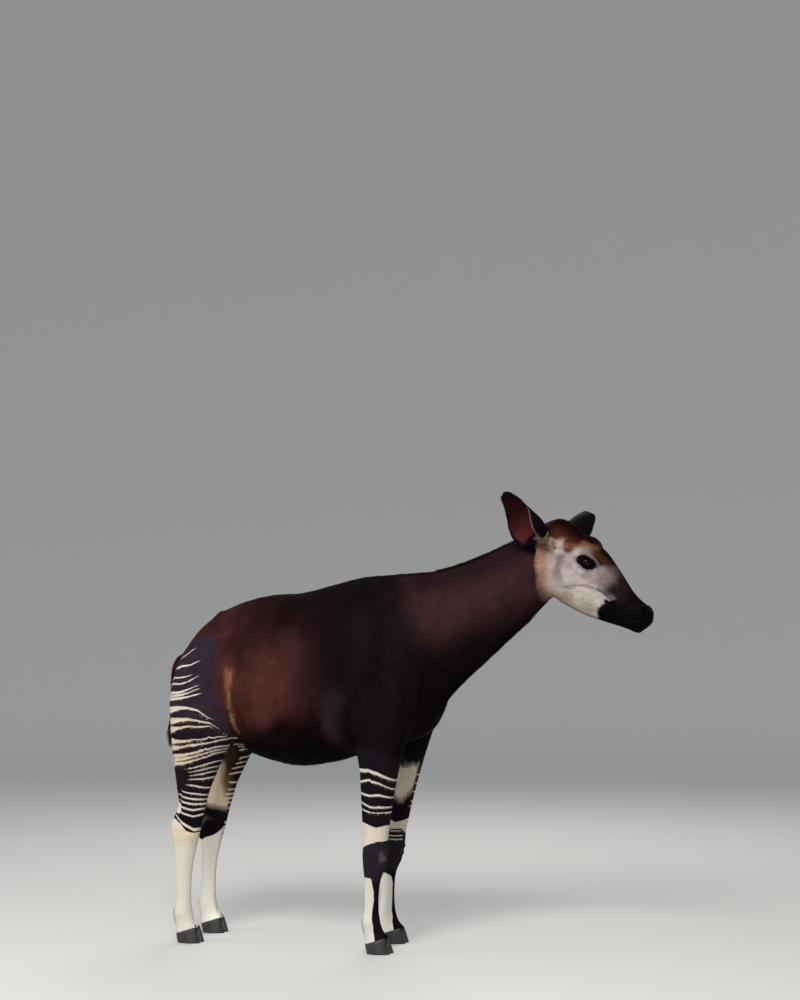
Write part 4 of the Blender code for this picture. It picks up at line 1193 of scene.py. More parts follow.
@dataclass(frozen=True)
class Tones:
    """Named colours of coat and skin, in linear light. Some of them carry painted light, sheen and shade."""

    barrel: tuple = (0.0078, 0.0038, 0.0046)
    # Painted light: rear_barrel, croup and flank are the coat's red-brown made lighter and redder towards the rump and
    # flank, as if lit from behind and above.
    rear_barrel: tuple = (0.0220, 0.0072, 0.0078)
    croup: tuple = (0.0380, 0.0115, 0.0095)
    flank: tuple = (0.0520, 0.0165, 0.0135)
    back: tuple = (0.0060, 0.0026, 0.0028)
    # Painted shade: low_flank and belly darken the barrel towards the bottom; belly also draws the dark line along the
    # spine.
    low_flank: tuple = (0.0060, 0.0024, 0.0030)
    belly: tuple = (0.0022, 0.0012, 0.0014)
    shoulder: tuple = (0.0056, 0.0034, 0.0052)
    withers: tuple = (0.0044, 0.0023, 0.0034)
    neck: tuple = (0.0290, 0.0125, 0.0128)
    breast: tuple = (0.0052, 0.0028, 0.0044)
    nape: tuple = (0.0130, 0.0058, 0.0070)
    # haunch: the dark coat with a painted blue-purple sheen over it.
    haunch: tuple = (0.0240, 0.0155, 0.0235)
    thigh: tuple = (0.0110, 0.0068, 0.0088)
    # Painted sunlight on the fold in front of the thigh: orange at its top, gold lower down.
    fold_sunlight: tuple = (0.3400, 0.1250, 0.0720)
    fold_sunlight_low: tuple = (0.2200, 0.1100, 0.0500)
    elbow: tuple = (0.0300, 0.0190, 0.0230)
    foreleg: tuple = (0.0090, 0.0056, 0.0088)
    knee: tuple = (0.0190, 0.0150, 0.0200)
    shank: tuple = (0.0070, 0.0048, 0.0066)
    tan: tuple = (0.0900, 0.0740, 0.0650)
    stripe: tuple = (0.5200, 0.4600, 0.3900)
    cannon: tuple = (0.5300, 0.5100, 0.4450)
    warm: tuple = (0.5400, 0.4500, 0.3100)
    ochre: tuple = (0.4800, 0.3500, 0.2000)
    inner: tuple = (0.0400, 0.0260, 0.0130)
    inner_brown: tuple = (0.1500, 0.0820, 0.0260)
    inner_cream: tuple = (0.6600, 0.5400, 0.3900)
    # The cannon white made brighter for the legs' inner sides, painted light over their shade.
    inner_cannon_lit: tuple = (0.7600, 0.7200, 0.6300)
    cheek: tuple = (0.3300, 0.2900, 0.2850)
    cheek_upper: tuple = (0.2700, 0.2250, 0.2100)
    jaw: tuple = (0.3800, 0.3350, 0.3050)
    jaw_low: tuple = (0.3300, 0.2700, 0.2000)
    cheek_shade: tuple = (0.1400, 0.1080, 0.1050)
    front: tuple = (0.1450, 0.1100, 0.1080)
    rear: tuple = (0.2900, 0.2120, 0.1800)
    gold: tuple = (0.2250, 0.1300, 0.0850)
    root: tuple = (0.0850, 0.0430, 0.0270)
    wedge: tuple = (0.3000, 0.2300, 0.2000)
    throat: tuple = (0.1100, 0.0660, 0.0430)
    crown: tuple = (0.0060, 0.0018, 0.0018)
    chestnut: tuple = (0.0430, 0.0125, 0.0063)
    orange: tuple = (0.1350, 0.0580, 0.0320)
    arc: tuple = (0.0420, 0.0165, 0.0090)
    brow: tuple = (0.0190, 0.0068, 0.0058)
    muzzle: tuple = (0.0110, 0.0060, 0.0082)
    black: tuple = (0.0026, 0.0018, 0.0030)
    lid: tuple = (0.0040, 0.0030, 0.0038)
    ear_root: tuple = (0.3000, 0.2100, 0.1500)
    ear_back: tuple = (0.0036, 0.0024, 0.0038)
    ear_tip: tuple = (0.0070, 0.0056, 0.0074)
    # The maroon of the ear's cup: its dark skin with painted backlight through the ear.
    ear_inside_and_backlight: tuple = (0.0560, 0.0130, 0.0125)
    ear_rim: tuple = (0.1500, 0.0950, 0.0850)
    mouth: tuple = (0.0120, 0.0080, 0.0110)


@dataclass(frozen=True)
class Bar:
    """One pale cross stripe of a leg: height, and half width in millimetres, at each knot of its set.

    A half width below 0 means that the stripe has ended there. Stripes that run together at the rear
    make the broad pale wedges from which thin lines part.
    """

    heights: tuple
    halves: tuple


@dataclass
class BarSet:
    """Cross stripes of a leg from the top down, read at knots from its rear to its front edge.

    Stripe k lies where the phase is k, and between two stripes the phase runs evenly with height.
    """

    knots: tuple
    bars: tuple

    def read(self, flat: Array) -> tuple[Array, Array, Array]:
        """Phase, distance between stripes and half width at places of the side view."""
        x, z = flat[:, 0], flat[:, 1]
        knots = np.array(self.knots)
        height = np.stack([np.interp(x, knots, bar.heights) for bar in self.bars], 1)
        width = np.stack([np.interp(x, knots, bar.halves) for bar in self.bars], 1) * 0.001
        gaps = np.maximum(height[:, :-1] - height[:, 1:], 0.004)
        slope = 2 / (np.concatenate([gaps[:, :1], gaps], 1) + np.concatenate([gaps, gaps[:, -1:]], 1))
        count = len(self.bars)
        low = np.clip((height[:, 1:-1] > z[:, None]).sum(axis=1), 0, count - 2)
        rows = np.arange(len(z))
        gap = gaps[rows, low]
        u = (height[rows, low] - z) / gap
        before, after = slope[rows, low], slope[rows, low + 1]
        v = np.clip(u, 0, 1)
        curve = (v**3 - 2 * v**2 + v) * gap * before + 3 * v**2 - 2 * v**3 + (v**3 - v**2) * gap * after
        phase = low + curve + (u - v) * gap * np.where(u < 0, before, after)
        blend = 3 * v**2 - 2 * v**3
        spacing = 1 / (before + (after - before) * blend)
        width = width[rows, low] * (1 - blend) + width[rows, low + 1] * blend
        outside = np.maximum(-phase - 0.45, phase - (count - 1) - 0.45)
        return phase, spacing, width - 0.05 * ease(0.0, 0.2, outside)


@dataclass
class Field:
    """What the skin carries at each point, for the shader and for the tufts."""

    coat: Array
    pale: Array
    bands: Array
    band: Array
    zones: Array

    def white(self, hair: Array) -> Array:
        """Share of pale hair: the nearer of stripe and wide band, roughened by hair, cut soft."""
        phase, spacing, half = self.bands.T
        stripe = half - spacing * np.abs(phase - np.round(phase))
        return ease(-0.0012, 0.0014, np.maximum(stripe, self.band) + 0.0007 * hair)


@dataclass
class Markings:
    """Colours and stripes of the whole animal, as functions of place."""

    stance: Stance
    head: Head
    tones: Tones = field(default_factory=Tones)
    hind: BarSet = field(
        default_factory=lambda: BarSet(
            (-0.975, -0.930, -0.885, -0.840, -0.790, -0.730),
            (
                Bar((1.136, 1.163, 1.190, 1.215, 1.231, 1.240), (1, 2, 2, -5, -6, -6)),
                Bar((1.111, 1.122, 1.127, 1.144, 1.160, 1.170), (4, 4, 3, 1, -6, -6)),
                Bar((1.073, 1.075, 1.083, 1.100, 1.115, 1.122), (4, 3, 2, -3, -6, -6)),
                Bar((1.049, 1.049, 1.062, 1.083, 1.096, 1.105), (4, 3, 3, 1, -6, -6)),
                Bar((1.012, 1.014, 1.028, 1.045, 1.056, 1.062), (6, 5, 3, 1, -6, -6)),
                Bar((1.000, 1.004, 1.014, 1.030, 1.041, 1.048), (7, 6, 3, 2, -6, -6)),
                Bar((0.987, 0.992, 0.999, 1.009, 1.024, 1.032), (7, 5, 3, 3, -4, -6)),
                Bar((0.944, 0.952, 0.953, 0.945, 0.913, 0.890), (11, 7, 4, 3, 2, -6)),
                Bar((0.893, 0.902, 0.906, 0.902, 0.893, 0.850), (14, 9, 6, 4, 4, -1)),
                Bar((0.866, 0.873, 0.880, 0.879, 0.882, 0.838), (14, 5, 4, 4, 2, -6)),
                Bar((0.811, 0.813, 0.817, 0.823, 0.831, 0.842), (12, 7, 5, 4, 3, 2)),
                Bar((0.791, 0.794, 0.802, 0.809, 0.818, 0.830), (10, 6, 4, 4, 3, 2)),
                Bar((0.750, 0.756, 0.765, 0.777, 0.790, 0.803), (9, 8, 5, 4, 3, 2)),
                Bar((0.739, 0.744, 0.752, 0.764, 0.779, 0.793), (9, 8, 6, 4, 3, 2)),
                Bar((0.722, 0.727, 0.736, 0.750, 0.768, 0.784), (9, 7, 5, 3, 3, 1)),
                Bar((0.690, 0.697, 0.706, 0.717, 0.734, 0.751), (-7, -4, 2, 3, 2, 1)),
                Bar((0.680, 0.684, 0.692, 0.702, 0.715, 0.728), (-7, -6, 1, 3, 2, 1)),
                Bar((0.673, 0.674, 0.678, 0.684, 0.698, 0.712), (-7, -7, 1, 3, 2, 1)),
                Bar((0.660, 0.661, 0.663, 0.665, 0.676, 0.690), (-7, -5, 2, 3, 3, 1)),
                Bar((0.645, 0.643, 0.639, 0.629, 0.626, 0.640), (-7, -2, 3, 3, 3, 1)),
                Bar((0.624, 0.614, 0.604, 0.598, 0.606, 0.618), (-6, 2, 3, 3, 2, 1)),
                Bar((0.608, 0.592, 0.582, 0.580, 0.588, 0.600), (3, 4, 4, 4, 3, 2)),
                Bar((0.584, 0.570, 0.561, 0.562, 0.570, 0.580), (-2, 4, 4, 4, 3, 2)),
                Bar((0.561, 0.546, 0.536, 0.544, 0.553, 0.563), (-2, 4, 4, 4, 3, 2)),
                Bar((0.541, 0.524, 0.512, 0.523, 0.536, 0.546), (-1, 4, 4, 4, 3, 2)),
                Bar((0.520, 0.484, 0.457, 0.462, 0.470, 0.480), (2, 5, 6, 5, 4, 2)),
            ),
        )
    )
    fore: BarSet = field(
        default_factory=lambda: BarSet(
            (-0.150, -0.110, -0.070, -0.030, 0.005),
            (
                Bar((0.760, 0.760, 0.750, 0.735, 0.725), (-6, -6, -6, -6, -6)),
                Bar((0.719, 0.718, 0.707, 0.687, 0.673), (8, 8, 7, 5, 3)),
                Bar((0.673, 0.684, 0.672, 0.650, 0.632), (4, 4, 4, 3, 2)),
                Bar((0.628, 0.619, 0.624, 0.612, 0.602), (4, 4, 4, 3, 2)),
                Bar((0.592, 0.574, 0.572, 0.574, 0.577), (4, 4, 4, 3, 2)),
                Bar((0.564, 0.553, 0.551, 0.554, 0.557), (4, 4, 4, 4, 3)),
                Bar((0.540, 0.534, 0.532, 0.534, 0.536), (-6, -6, -6, -6, -6)),
                Bar((0.454, 0.452, 0.452, 0.453, 0.454), (-6, -6, -6, -6, -6)),
                Bar((0.438, 0.436, 0.435, 0.436, 0.438), (-6, -6, -6, -6, -6)),
                Bar((0.424, 0.421, 0.420, 0.421, 0.423), (-6, -6, -6, -6, -6)),
            ),
        )
    )

    @staticmethod
    def spot(flat: Array, centre: tuple, radii: tuple, soft: float) -> Array:
        """Soft oval: 1 within, 0 outside, with an edge of the given share of its radius."""
        reach = np.hypot((flat[:, 0] - centre[0]) / radii[0], (flat[:, 1] - centre[1]) / radii[1])
        return ease(1 + soft, 1 - soft, reach)

    @staticmethod
    def patch(flat: Array, outline: tuple, soft: float) -> Array:
        """Soft patch inside an outline."""
        return ease(-soft, soft, inside_outline(flat, outline))

    def body(self, flat: Array, points: Array) -> Array:
        """Coat of barrel, haunches, shoulders and neck, with painted light, sheen and shade laid into it."""
        t = self.tones
        wander = 0.022 * np.stack([value_noise(points, 9.0, 3), value_noise(points, 9.0, 4)], 1)
        f = flat + wander
        x, z = f.T
        coat = np.tile(np.array(t.barrel), (len(f), 1))
        # Painted light: lighter and redder towards the rump and croup, and on two spots of the flank, as if lit from
        # behind and above.
        coat = mixed(coat, t.rear_barrel, ease(-0.32, -0.60, x))
        coat = mixed(coat, t.croup, ease(-0.62, -0.82, x) * ease(1.05, 1.25, z))
        coat = mixed(coat, t.back, 0.90 * ease(1.20, 1.36, z - 0.12 * ease(-0.45, -0.80, x)))
        coat = mixed(coat, t.flank, 0.95 * self.spot(f, (-0.560, 0.990), (0.150, 0.150), 0.6))
        coat = mixed(coat, t.flank, 0.35 * self.spot(f, (-0.440, 1.080), (0.150, 0.170), 0.6))
        # Painted shade: darker towards the low flank and the belly.
        coat = mixed(coat, t.low_flank, ease(0.935, 0.850, z + 0.06 * ease(-0.45, -0.65, x)))
        coat = mixed(coat, t.belly, ease(0.830, 0.765, z))
        coat = mixed(coat, t.withers, self.spot(f, (-0.130, 1.430), (0.220, 0.110), 0.5))
        coat = mixed(coat, t.shoulder, self.spot(f, (-0.020, 1.100), (0.250, 0.330), 0.75))
        coat = mixed(coat, t.elbow, 0.8 * self.spot(f, (-0.262, 0.925), (0.036, 0.085), 0.9))
        grain = points * np.array([1.0, 1.0, 0.28])
        coat = coat * (1 + 0.32 * value_noise(grain, 15.0, 17) + 0.16 * value_noise(grain, 42.0, 18))[:, None]
        up = np.where(flat[:, 0] > -0.25, self.stance.beyond(points, self.stance.neck_cut), -1.0)
        coat = mixed(coat, t.neck, ease(-0.06, 0.05, up + wander[:, 0]))
        crest = path_distance(f, ((0.060, 1.520), (0.240, 1.560), (0.460, 1.650), (0.600, 1.700)))[0]
        coat = mixed(coat, t.nape, ease(0.150, 0.050, crest) * ease(-0.05, 0.05, up))
        coat = mixed(coat, t.breast, ease(1.34, 1.16, z - 0.35 * (x - 0.2)) * ease(0.02, 0.10, x))
        # Painted sheen: a blue-purple patch of haunch colour over the haunch.
        sheen_panel = ((-0.790, 1.250), (-0.763, 1.068), (-0.738, 0.927), (-0.718, 0.830), (-0.90, 0.80), (-1.06, 0.90), (-1.02, 1.13), (-0.90, 1.235))
        coat = mixed(coat, t.haunch, self.patch(f, sheen_panel, 0.020))
        # Painted sunlight on the fold in front of the thigh: lit flank colour round it, a streaked orange patch at its
        # top and a thin gold line below.
        comb = ease(-0.25, 0.55, value_noise(points * np.array([1.0, 1.0, 0.22]), 95.0, 13))
        fold, share = path_distance(f, ((-0.724, 1.112), (-0.716, 1.065), (-0.696, 1.000)))
        coat = mixed(coat, t.flank, ease(0.085, 0.020, fold))
        warm = ease(0.038, 0.006, fold) * ease(1.02, 0.60, share) * ease(1.145, 1.105, z)
        coat = mixed(coat, t.fold_sunlight, warm * (0.45 + 0.55 * comb))
        fold, share = path_distance(f, ((-0.716, 1.020), (-0.712, 0.950), (-0.700, 0.884), (-0.670, 0.840)))
        coat = mixed(coat, t.fold_sunlight_low, ease(0.012, 0.003, fold) * (0.55 + 0.45 * comb) * ease(1.0, 0.7, share))
        ridge = ease(0.026, 0.012, np.abs(points[:, 1])) * ease(1.28, 1.34, z)
        return mixed(coat, t.belly, 0.8 * ridge)

    def inner(self, points: Array, normals: Array) -> Array:
        """How far a point of a leg faces the other leg, 0 to 1."""
        return ease(0.15, 0.60, -normals[:, 1] * np.sign(points[:, 1]))

    def hind_leg(self, flat: Array, inner: Array, points: Array) -> tuple[Array, Array, Array, Array]:
        """Coat, pale colour, stripes and wide bands of the hind legs."""
        t = self.tones
        x, z = flat.T
        wander = 0.006 * value_noise(points, 30.0, 5)
        hair = value_noise(points * np.array([1.0, 1.0, 0.35]), 150.0, 14)
        # The thigh starts from the haunch's painted sheen and turns to thigh colour lower down.
        coat = mixed(np.tile(np.array(t.haunch), (len(x), 1)), t.thigh, ease(1.02, 0.80, z))
        coat = mixed(coat, t.shank, ease(0.62, 0.52, z))
        border = np.interp(z, (0.54, 0.58, 0.62, 0.66, 0.70, 0.74), (-0.884, -0.862, -0.850, -0.846, -0.826, -0.800))
        centre = inner * ease(0.014, -0.022, x - border + 0.005 * hair)
        coat = mixed(coat, t.inner, centre * ease(0.535, 0.550, z))
        brown = ((-0.885, 0.690), (-0.840, 0.680), (-0.836, 0.620), (-0.840, 0.586), (-0.856, 0.572), (-0.876, 0.590))
        coat = mixed(coat, t.inner_brown, inner * self.patch(flat + 0.004 * hair[:, None], brown, 0.024))
        white = (
            (-0.990, 0.740), (-0.905, 0.735), (-0.868, 0.706), (-0.878, 0.650), (-0.873, 0.609), (-0.862, 0.570),
            (-0.842, 0.534), (-0.832, 0.516), (-0.891, 0.531), (-0.990, 0.548),
        )
        near = ease(-0.022, 0.004, inside_outline(flat, white) + 0.003 * hair)
        coat = mixed(coat, t.inner_cream, 0.7 * inner * near)
        slant = np.stack([0 * wander, 0.15 * wander], 1)
        phase, spacing, half = self.hind.read(flat + slant)
        half = half - 0.014 * inner * np.maximum(ease(0.008, -0.012, x - border - 0.006 * hair), ease(0.545, 0.525, z))
        half = half + 0.0010 * inner
        edge = np.interp(x, (-0.990, -0.958, -0.924, -0.888, -0.860), (0.398, 0.388, 0.400, 0.424, 0.440))
        outer = np.interp(x, (-1.000, -0.965, -0.938, -0.912, -0.885, -0.858), (0.508, 0.497, 0.482, 0.450, 0.442, 0.452))
        band = outer + (edge - outer) * inner - z + wander * (0.4 + inner)
        point = inside_outline(flat, ((-0.975, 0.570), (-0.948, 0.566), (-0.936, 0.530), (-0.955, 0.518), (-0.985, 0.535)))
        band = np.maximum(band, point - 0.10 * inner)
        # Painted highlight: a soft pale arc on the inner side of the hind leg.
        highlight_arc, share = path_distance(flat, ((-0.980, 0.415), (-0.966, 0.455), (-0.942, 0.479), (-0.922, 0.478), (-0.902, 0.466)))
        coat = mixed(coat, t.tan, 0.9 * inner * ease(0.011, 0.003, highlight_arc) * ease(1.1, 0.5, share))
        band = np.maximum(band, inside_outline(flat, white) - 0.12 * (1 - inner) + 0.003 * hair - 0.004)
        streak = path_distance(flat, ((-0.894, 0.225), (-0.892, 0.150), (-0.880, 0.080), (-0.868, 0.050)))[0]
        band = np.minimum(band, streak - 0.0065 - wander)
        smudge = path_distance(flat, ((-0.900, 0.406), (-0.858, 0.418)))[0]
        band = np.minimum(band, smudge - 0.0030 + 0.02 * inner)
        pale = mixed(np.tile(np.array(t.stripe), (len(x), 1)), t.cannon, ease(0.46, 0.40, z))
        pale = mixed(pale, t.ochre, 0.55 * self.spot(flat, (-0.890, 0.800), (0.060, 0.110), 0.6))
        pale = mixed(pale, t.warm, 0.75 * self.spot(flat, (-0.925, 0.430), (0.055, 0.040), 0.5))
        pale = mixed(pale, t.inner_cream, inner * ease(0.48, 0.54, z))
        # Painted light: a brighter cannon white on the inner side.
        pale = mixed(pale, t.inner_cannon_lit, inner * ease(0.46, 0.40, z))
        return coat, pale, np.stack([phase, spacing, half], 1), band

    def foreleg(self, flat: Array, inner: Array, points: Array) -> tuple[Array, Array, Array, Array]:
        """Coat, pale colour, stripes and wide bands of the forelegs."""
        t = self.tones
        x, z = flat.T
        wander = 0.006 * value_noise(points, 30.0, 6)
        hair = value_noise(points * np.array([1.0, 1.0, 0.35]), 150.0, 15)
        coat = mixed(np.tile(np.array(t.shoulder), (len(x), 1)), t.foreleg, ease(0.95, 0.78, z))
        coat = mixed(coat, t.knee, ease(0.46, 0.42, z))
        coat = mixed(coat, t.shank, ease(0.31, 0.26, z))
        coat = mixed(coat, t.tan, 0.8 * self.spot(flat, (-0.068, 0.375), (0.010, 0.020), 0.5) * (1 - inner))
        slant = np.stack([0 * wander, 0.15 * wander], 1)
        phase, spacing, half = self.fore.read(flat + slant)
        half = half - 0.012 * inner * ease(0.545, 0.560, z)
        half = half + 0.0085 * inner * ease(0.480, 0.470, z)
        top = np.interp(x, (-0.150, -0.087, -0.032), (0.512, 0.492, 0.505))
        low = np.interp(x, (-0.150, -0.120, -0.087, -0.041), (0.412, 0.428, 0.440, 0.446))
        low = low + (0.462 - low) * inner
        band = np.minimum(top - z, z - low) + wander * 0.6
        patch = ((-0.085, 0.706), (0.050, 0.728), (0.040, 0.690), (0.004, 0.654), (-0.030, 0.628), (-0.066, 0.586), (-0.090, 0.60))
        pale_in = inside_outline(flat, patch) + 0.005 * hair
        band = np.maximum(band, pale_in - 0.12 * (1 - inner))
        coat = mixed(coat, t.inner_cream, 0.6 * inner * ease(-0.020, 0.0, pale_in))
        knee = np.interp(x, (-0.150, -0.118, -0.090, -0.070), (0.298, 0.296, 0.280, 0.262)) - 0.014 * inner
        line = np.interp(z, (0.050, 0.090, 0.150, 0.240, 0.300), (-0.092, -0.104, -0.108, -0.106, -0.112))
        line = line + 0.012 * inner
        lower = np.minimum(knee - z, line - x) + wander * 0.5
        band = np.maximum(band, lower)
        pale = mixed(np.tile(np.array(t.stripe), (len(x), 1)), t.cannon, ease(0.34, 0.28, z))
        # Painted light: a brighter cannon white on the inner side.
        pale = mixed(pale, t.inner_cannon_lit, inner * ease(0.36, 0.30, z))
        return coat, pale, np.stack([phase, spacing, half], 1), band

    def face(self, points: Array) -> tuple[Array, Array]:
        """Coat of the head and how bare its skin is.

        Regions are outlines in the head's side view, laid over each other with soft edges.

        Args:
            points: places on the head.

        Returns:
            The colours, and the bareness, 0 to 1.
        """
        t = self.tones
        q = self.head.frame.local(points)
        wander = 0.004 * np.stack([value_noise(points, 38.0, 7), value_noise(points, 38.0, 8)], 1)
        streak = value_noise(q * np.array([0.4, 1.0, 1.0]), 190.0, 16)
        f = q[:, [0, 2]] + wander + (0.0028 + 0.0030 * ease(0.03, 0.06, q[:, 2]) * ease(0.20, 0.15, q[:, 0]))[:, None] * streak[:, None]
        a, h = f.T
        s = np.abs(q[:, 1])
        coat = mixed(np.tile(np.array(t.crown), (len(a), 1)), t.chestnut, ease(0.126, 0.084, h) * ease(-0.02, 0.04, a))
        coat = mixed(coat, t.brow, ease(0.160, 0.200, a))
        arc = path_distance(f, ((0.180, 0.122), (0.215, 0.104), (0.254, 0.102), (0.290, 0.106)))[0]
        coat = mixed(coat, t.arc, ease(0.016, 0.004, arc))
        coat = mixed(coat, t.black, 0.8 * ease(0.115, 0.150, a) * ease(0.038, 0.018, s) * ease(0.07, 0.09, h))
        coat = mixed(coat, t.muzzle, ease(0.295, 0.330, a))
        low = ease(0.020, -0.020, h)
        coat = mixed(coat, t.black, ease(0.0, 1.0, (a - 0.365 + 0.040 * low) / (0.060 - 0.040 * low)))
        cheek = (
            (-0.020, 0.046), (-0.014, 0.004), (0.018, -0.045), (0.049, -0.095), (0.072, -0.140), (0.100, -0.190),
            (0.180, -0.215), (0.345, -0.165), (0.344, -0.095), (0.334, -0.060), (0.342, -0.040), (0.353, -0.012),
            (0.359, 0.006), (0.330, 0.009), (0.310, 0.010), (0.321, 0.030), (0.324, 0.057), (0.314, 0.083),
            (0.292, 0.094), (0.268, 0.089), (0.246, 0.079), (0.222, 0.084), (0.205, 0.095), (0.187, 0.106),
            (0.165, 0.109), (0.145, 0.097), (0.133, 0.077), (0.126, 0.054), (0.113, 0.046), (0.098, 0.046),
            (0.082, 0.060), (0.074, 0.082), (0.062, 0.082), (0.052, 0.062), (0.040, 0.052), (0.010, 0.046),
        )
        front = ease(0.255, 0.300, a) * ease(-0.004, 0.016, h)
        softness = 1 + 2.6 * front + 0.8 * ease(0.045, 0.070, h)
        within = ease(0.0, 1.0, (inside_outline(f, cheek) + 0.006 * softness) / (0.013 * softness))
        top = path_distance(f, ((0.095, 0.064), (0.128, 0.080), (0.146, 0.108), (0.185, 0.118)))[0]
        coat = mixed(coat, t.orange, ease(0.020, 0.004, top) * (0.55 + 0.45 * ease(-0.5, 0.5, streak)))
        pale = mixed(np.tile(np.array(t.cheek), (len(a), 1)), t.cheek_upper, ease(-0.020, 0.030, h) * ease(0.20, 0.14, a))
        pale = mixed(pale, t.jaw, self.spot(f, (0.275, -0.050), (0.090, 0.048), 0.4))
        pale = mixed(pale, t.jaw_low, ease(-0.085, -0.115, h))
        pale = mixed(pale, t.front, ease(0.232, 0.285, a) * ease(-0.004, 0.030, h))
        # Painted shade: a spot below the eye, and the white over the eye dimmed, both with the front colour.
        pale = mixed(pale, t.front, 0.6 * self.spot(f, (0.232, 0.024), (0.022, 0.014), 0.6))
        pale = mixed(pale, t.front, 0.8 * self.spot(f, (0.186, 0.098), (0.050, 0.014), 0.6))
        rear = path_distance(f, ((0.008, 0.000), (0.036, -0.045), (0.068, -0.095), (0.092, -0.140), (0.112, -0.175)))[0]
        pale = mixed(pale, t.rear, ease(0.090, 0.045, rear))
        pale = mixed(pale, t.gold, 0.9 * ease(0.048, 0.012, rear))
        shade, share = path_distance(f, ((0.104, 0.022), (0.116, -0.010), (0.130, -0.045), (0.156, -0.074)))
        pale = mixed(pale, t.cheek_shade, 0.85 * ease(0.026, 0.004, shade) * ease(1.1, 0.6, share))
        crease = path_distance(f, ((0.190, -0.066), (0.230, -0.030), (0.275, -0.008), (0.330, 0.004)))[0]
        pale = mixed(pale, t.cheek_shade, 0.55 * ease(0.008, 0.002, crease))
        crease = path_distance(f, ((0.290, 0.004), (0.318, 0.000), (0.352, 0.000)))[0]
        pale = mixed(pale, t.muzzle, 0.8 * ease(0.007, 0.002, crease))
        hollow = self.spot(f, (0.030, 0.016), (0.036, 0.015), 0.5)
        pale = mixed(pale, t.root, 0.9 * hollow * (0.6 + 0.4 * ease(-0.5, 0.5, streak)))
        pale = mixed(pale, t.root, 0.55 * ease(0.050, 0.072, h) * ease(0.120, 0.100, a))
        pale = mixed(pale, t.wedge, 0.9 * self.spot(f, (0.071, 0.050), (0.009, 0.022), 0.6))
        pale = mixed(pale, t.throat, ease(0.030, 0.0, s) * ease(-0.06, -0.10, h))
        pale = pale * (1 + 0.10 * value_noise(points, 120.0, 9) + 0.08 * streak)[:, None]
        coat = mixed(coat, pale, within)
        tuft = ((-0.022, 0.058), (0.000, 0.052), (0.036, 0.056), (0.046, 0.046), (0.036, 0.036), (-0.002, 0.034), (-0.018, 0.036))
        coat = mixed(coat, t.ear_root, self.patch(f, tuft, 0.006) * ease(0.02, 0.04, s) * (0.35 + 0.65 * ease(-0.4, 0.4, streak)))
        pit = path_distance(f, ((0.036, 0.044), (0.050, 0.034), (0.062, 0.030)))[0]
        pit = 0.8 * ease(0.012, 0.002, pit) * ease(0.03, 0.05, s)
        coat = mixed(coat, t.brow, 0.85 * pit)
        for place in ((0.232, 0.007), (0.218, 0.012), (0.262, -0.062), (0.205, -0.118)):
            coat = mixed(coat, t.cheek_shade, 0.7 * self.spot(f, place, (0.004, 0.003), 0.4))
        bare = self.patch(f, ((0.425, 0.20), (0.440, 0.058), (0.436, 0.020), (0.392, -0.014), (0.350, -0.018), (0.345, -0.026), (0.40, -0.040), (0.46, -0.046), (0.52, -0.045), (0.60, 0.0), (0.60, 0.20)), 0.006)
        lips = path_distance(q, self.head.lip_line())[0]
        coat = mixed(coat, t.black, ease(0.010, 0.005, lips))
        coat = mixed(coat, t.mouth, ease(0.0024, 0.0012, lips))
        for eye in self.head.eyes.values():
            e = eye.local(q)
            ring = np.hypot(e[:, 0] / 1.78, 0.93 * e[:, 1] - 0.16 * e[:, 0]) + np.maximum(0, -e[:, 2] - 0.034)
            coat = mixed(coat, t.cheek_shade, 0.75 * ease(0.0340, 0.0260, ring + 0.0014 * streak) * ease(0.0, 0.010, np.abs(e[:, 1])))
            coat = mixed(coat, t.lid, ease(0.0262, 0.0212, ring + wander[:, 0] * 0.4 + 0.0012 * streak))
            bare = np.maximum(bare, ease(0.0040, 0.0016, np.abs(eye.opening(e[:, 0], e[:, 1]))) * (ring < 0.024))
        return coat, bare

    def ear(self, side: Side, points: Array) -> Array:
        """Coat of one ear: black back, maroon inside that is partly painted backlight, pale line at the rim, cream hair
        at its root.
        """
        t = self.tones
        share, swing, inside, _ = self.head.ears[side].place(points)
        front = swing * side.value > 0
        hair = value_noise(points, 70.0, 10)
        back = mixed(np.tile(np.array(t.ear_back), (len(share), 1)), t.crown, ease(0.16, 0.04, share))
        # Painted backlight: maroon inside the cup, brightest near the root and darker towards the tip.
        cup = mixed(np.tile(np.array(t.ear_inside_and_backlight), (len(share), 1)), 0.35 * np.array(t.ear_inside_and_backlight), ease(0.30, 0.62, share + 0.05 * hair))
        cup = mixed(cup, t.ear_tip, ease(0.74, 0.88, share + 0.04 * hair))
        cup = mixed(cup, t.ear_tip, 0.7 * ease(0.80, 0.98, np.abs(swing)) * ~front)
        coat = np.where(inside[:, None], cup, back)
        rim = ease(0.040, 0.016, np.abs(np.abs(swing) - 0.990)) * ease(0.74, 0.55, share) * front
        coat = mixed(coat, t.ear_rim, 0.85 * rim)
        return mixed(coat, t.ear_root, ease(0.14, 0.04, share + 0.03 * hair) * (np.abs(swing) > 0.55) * inside)

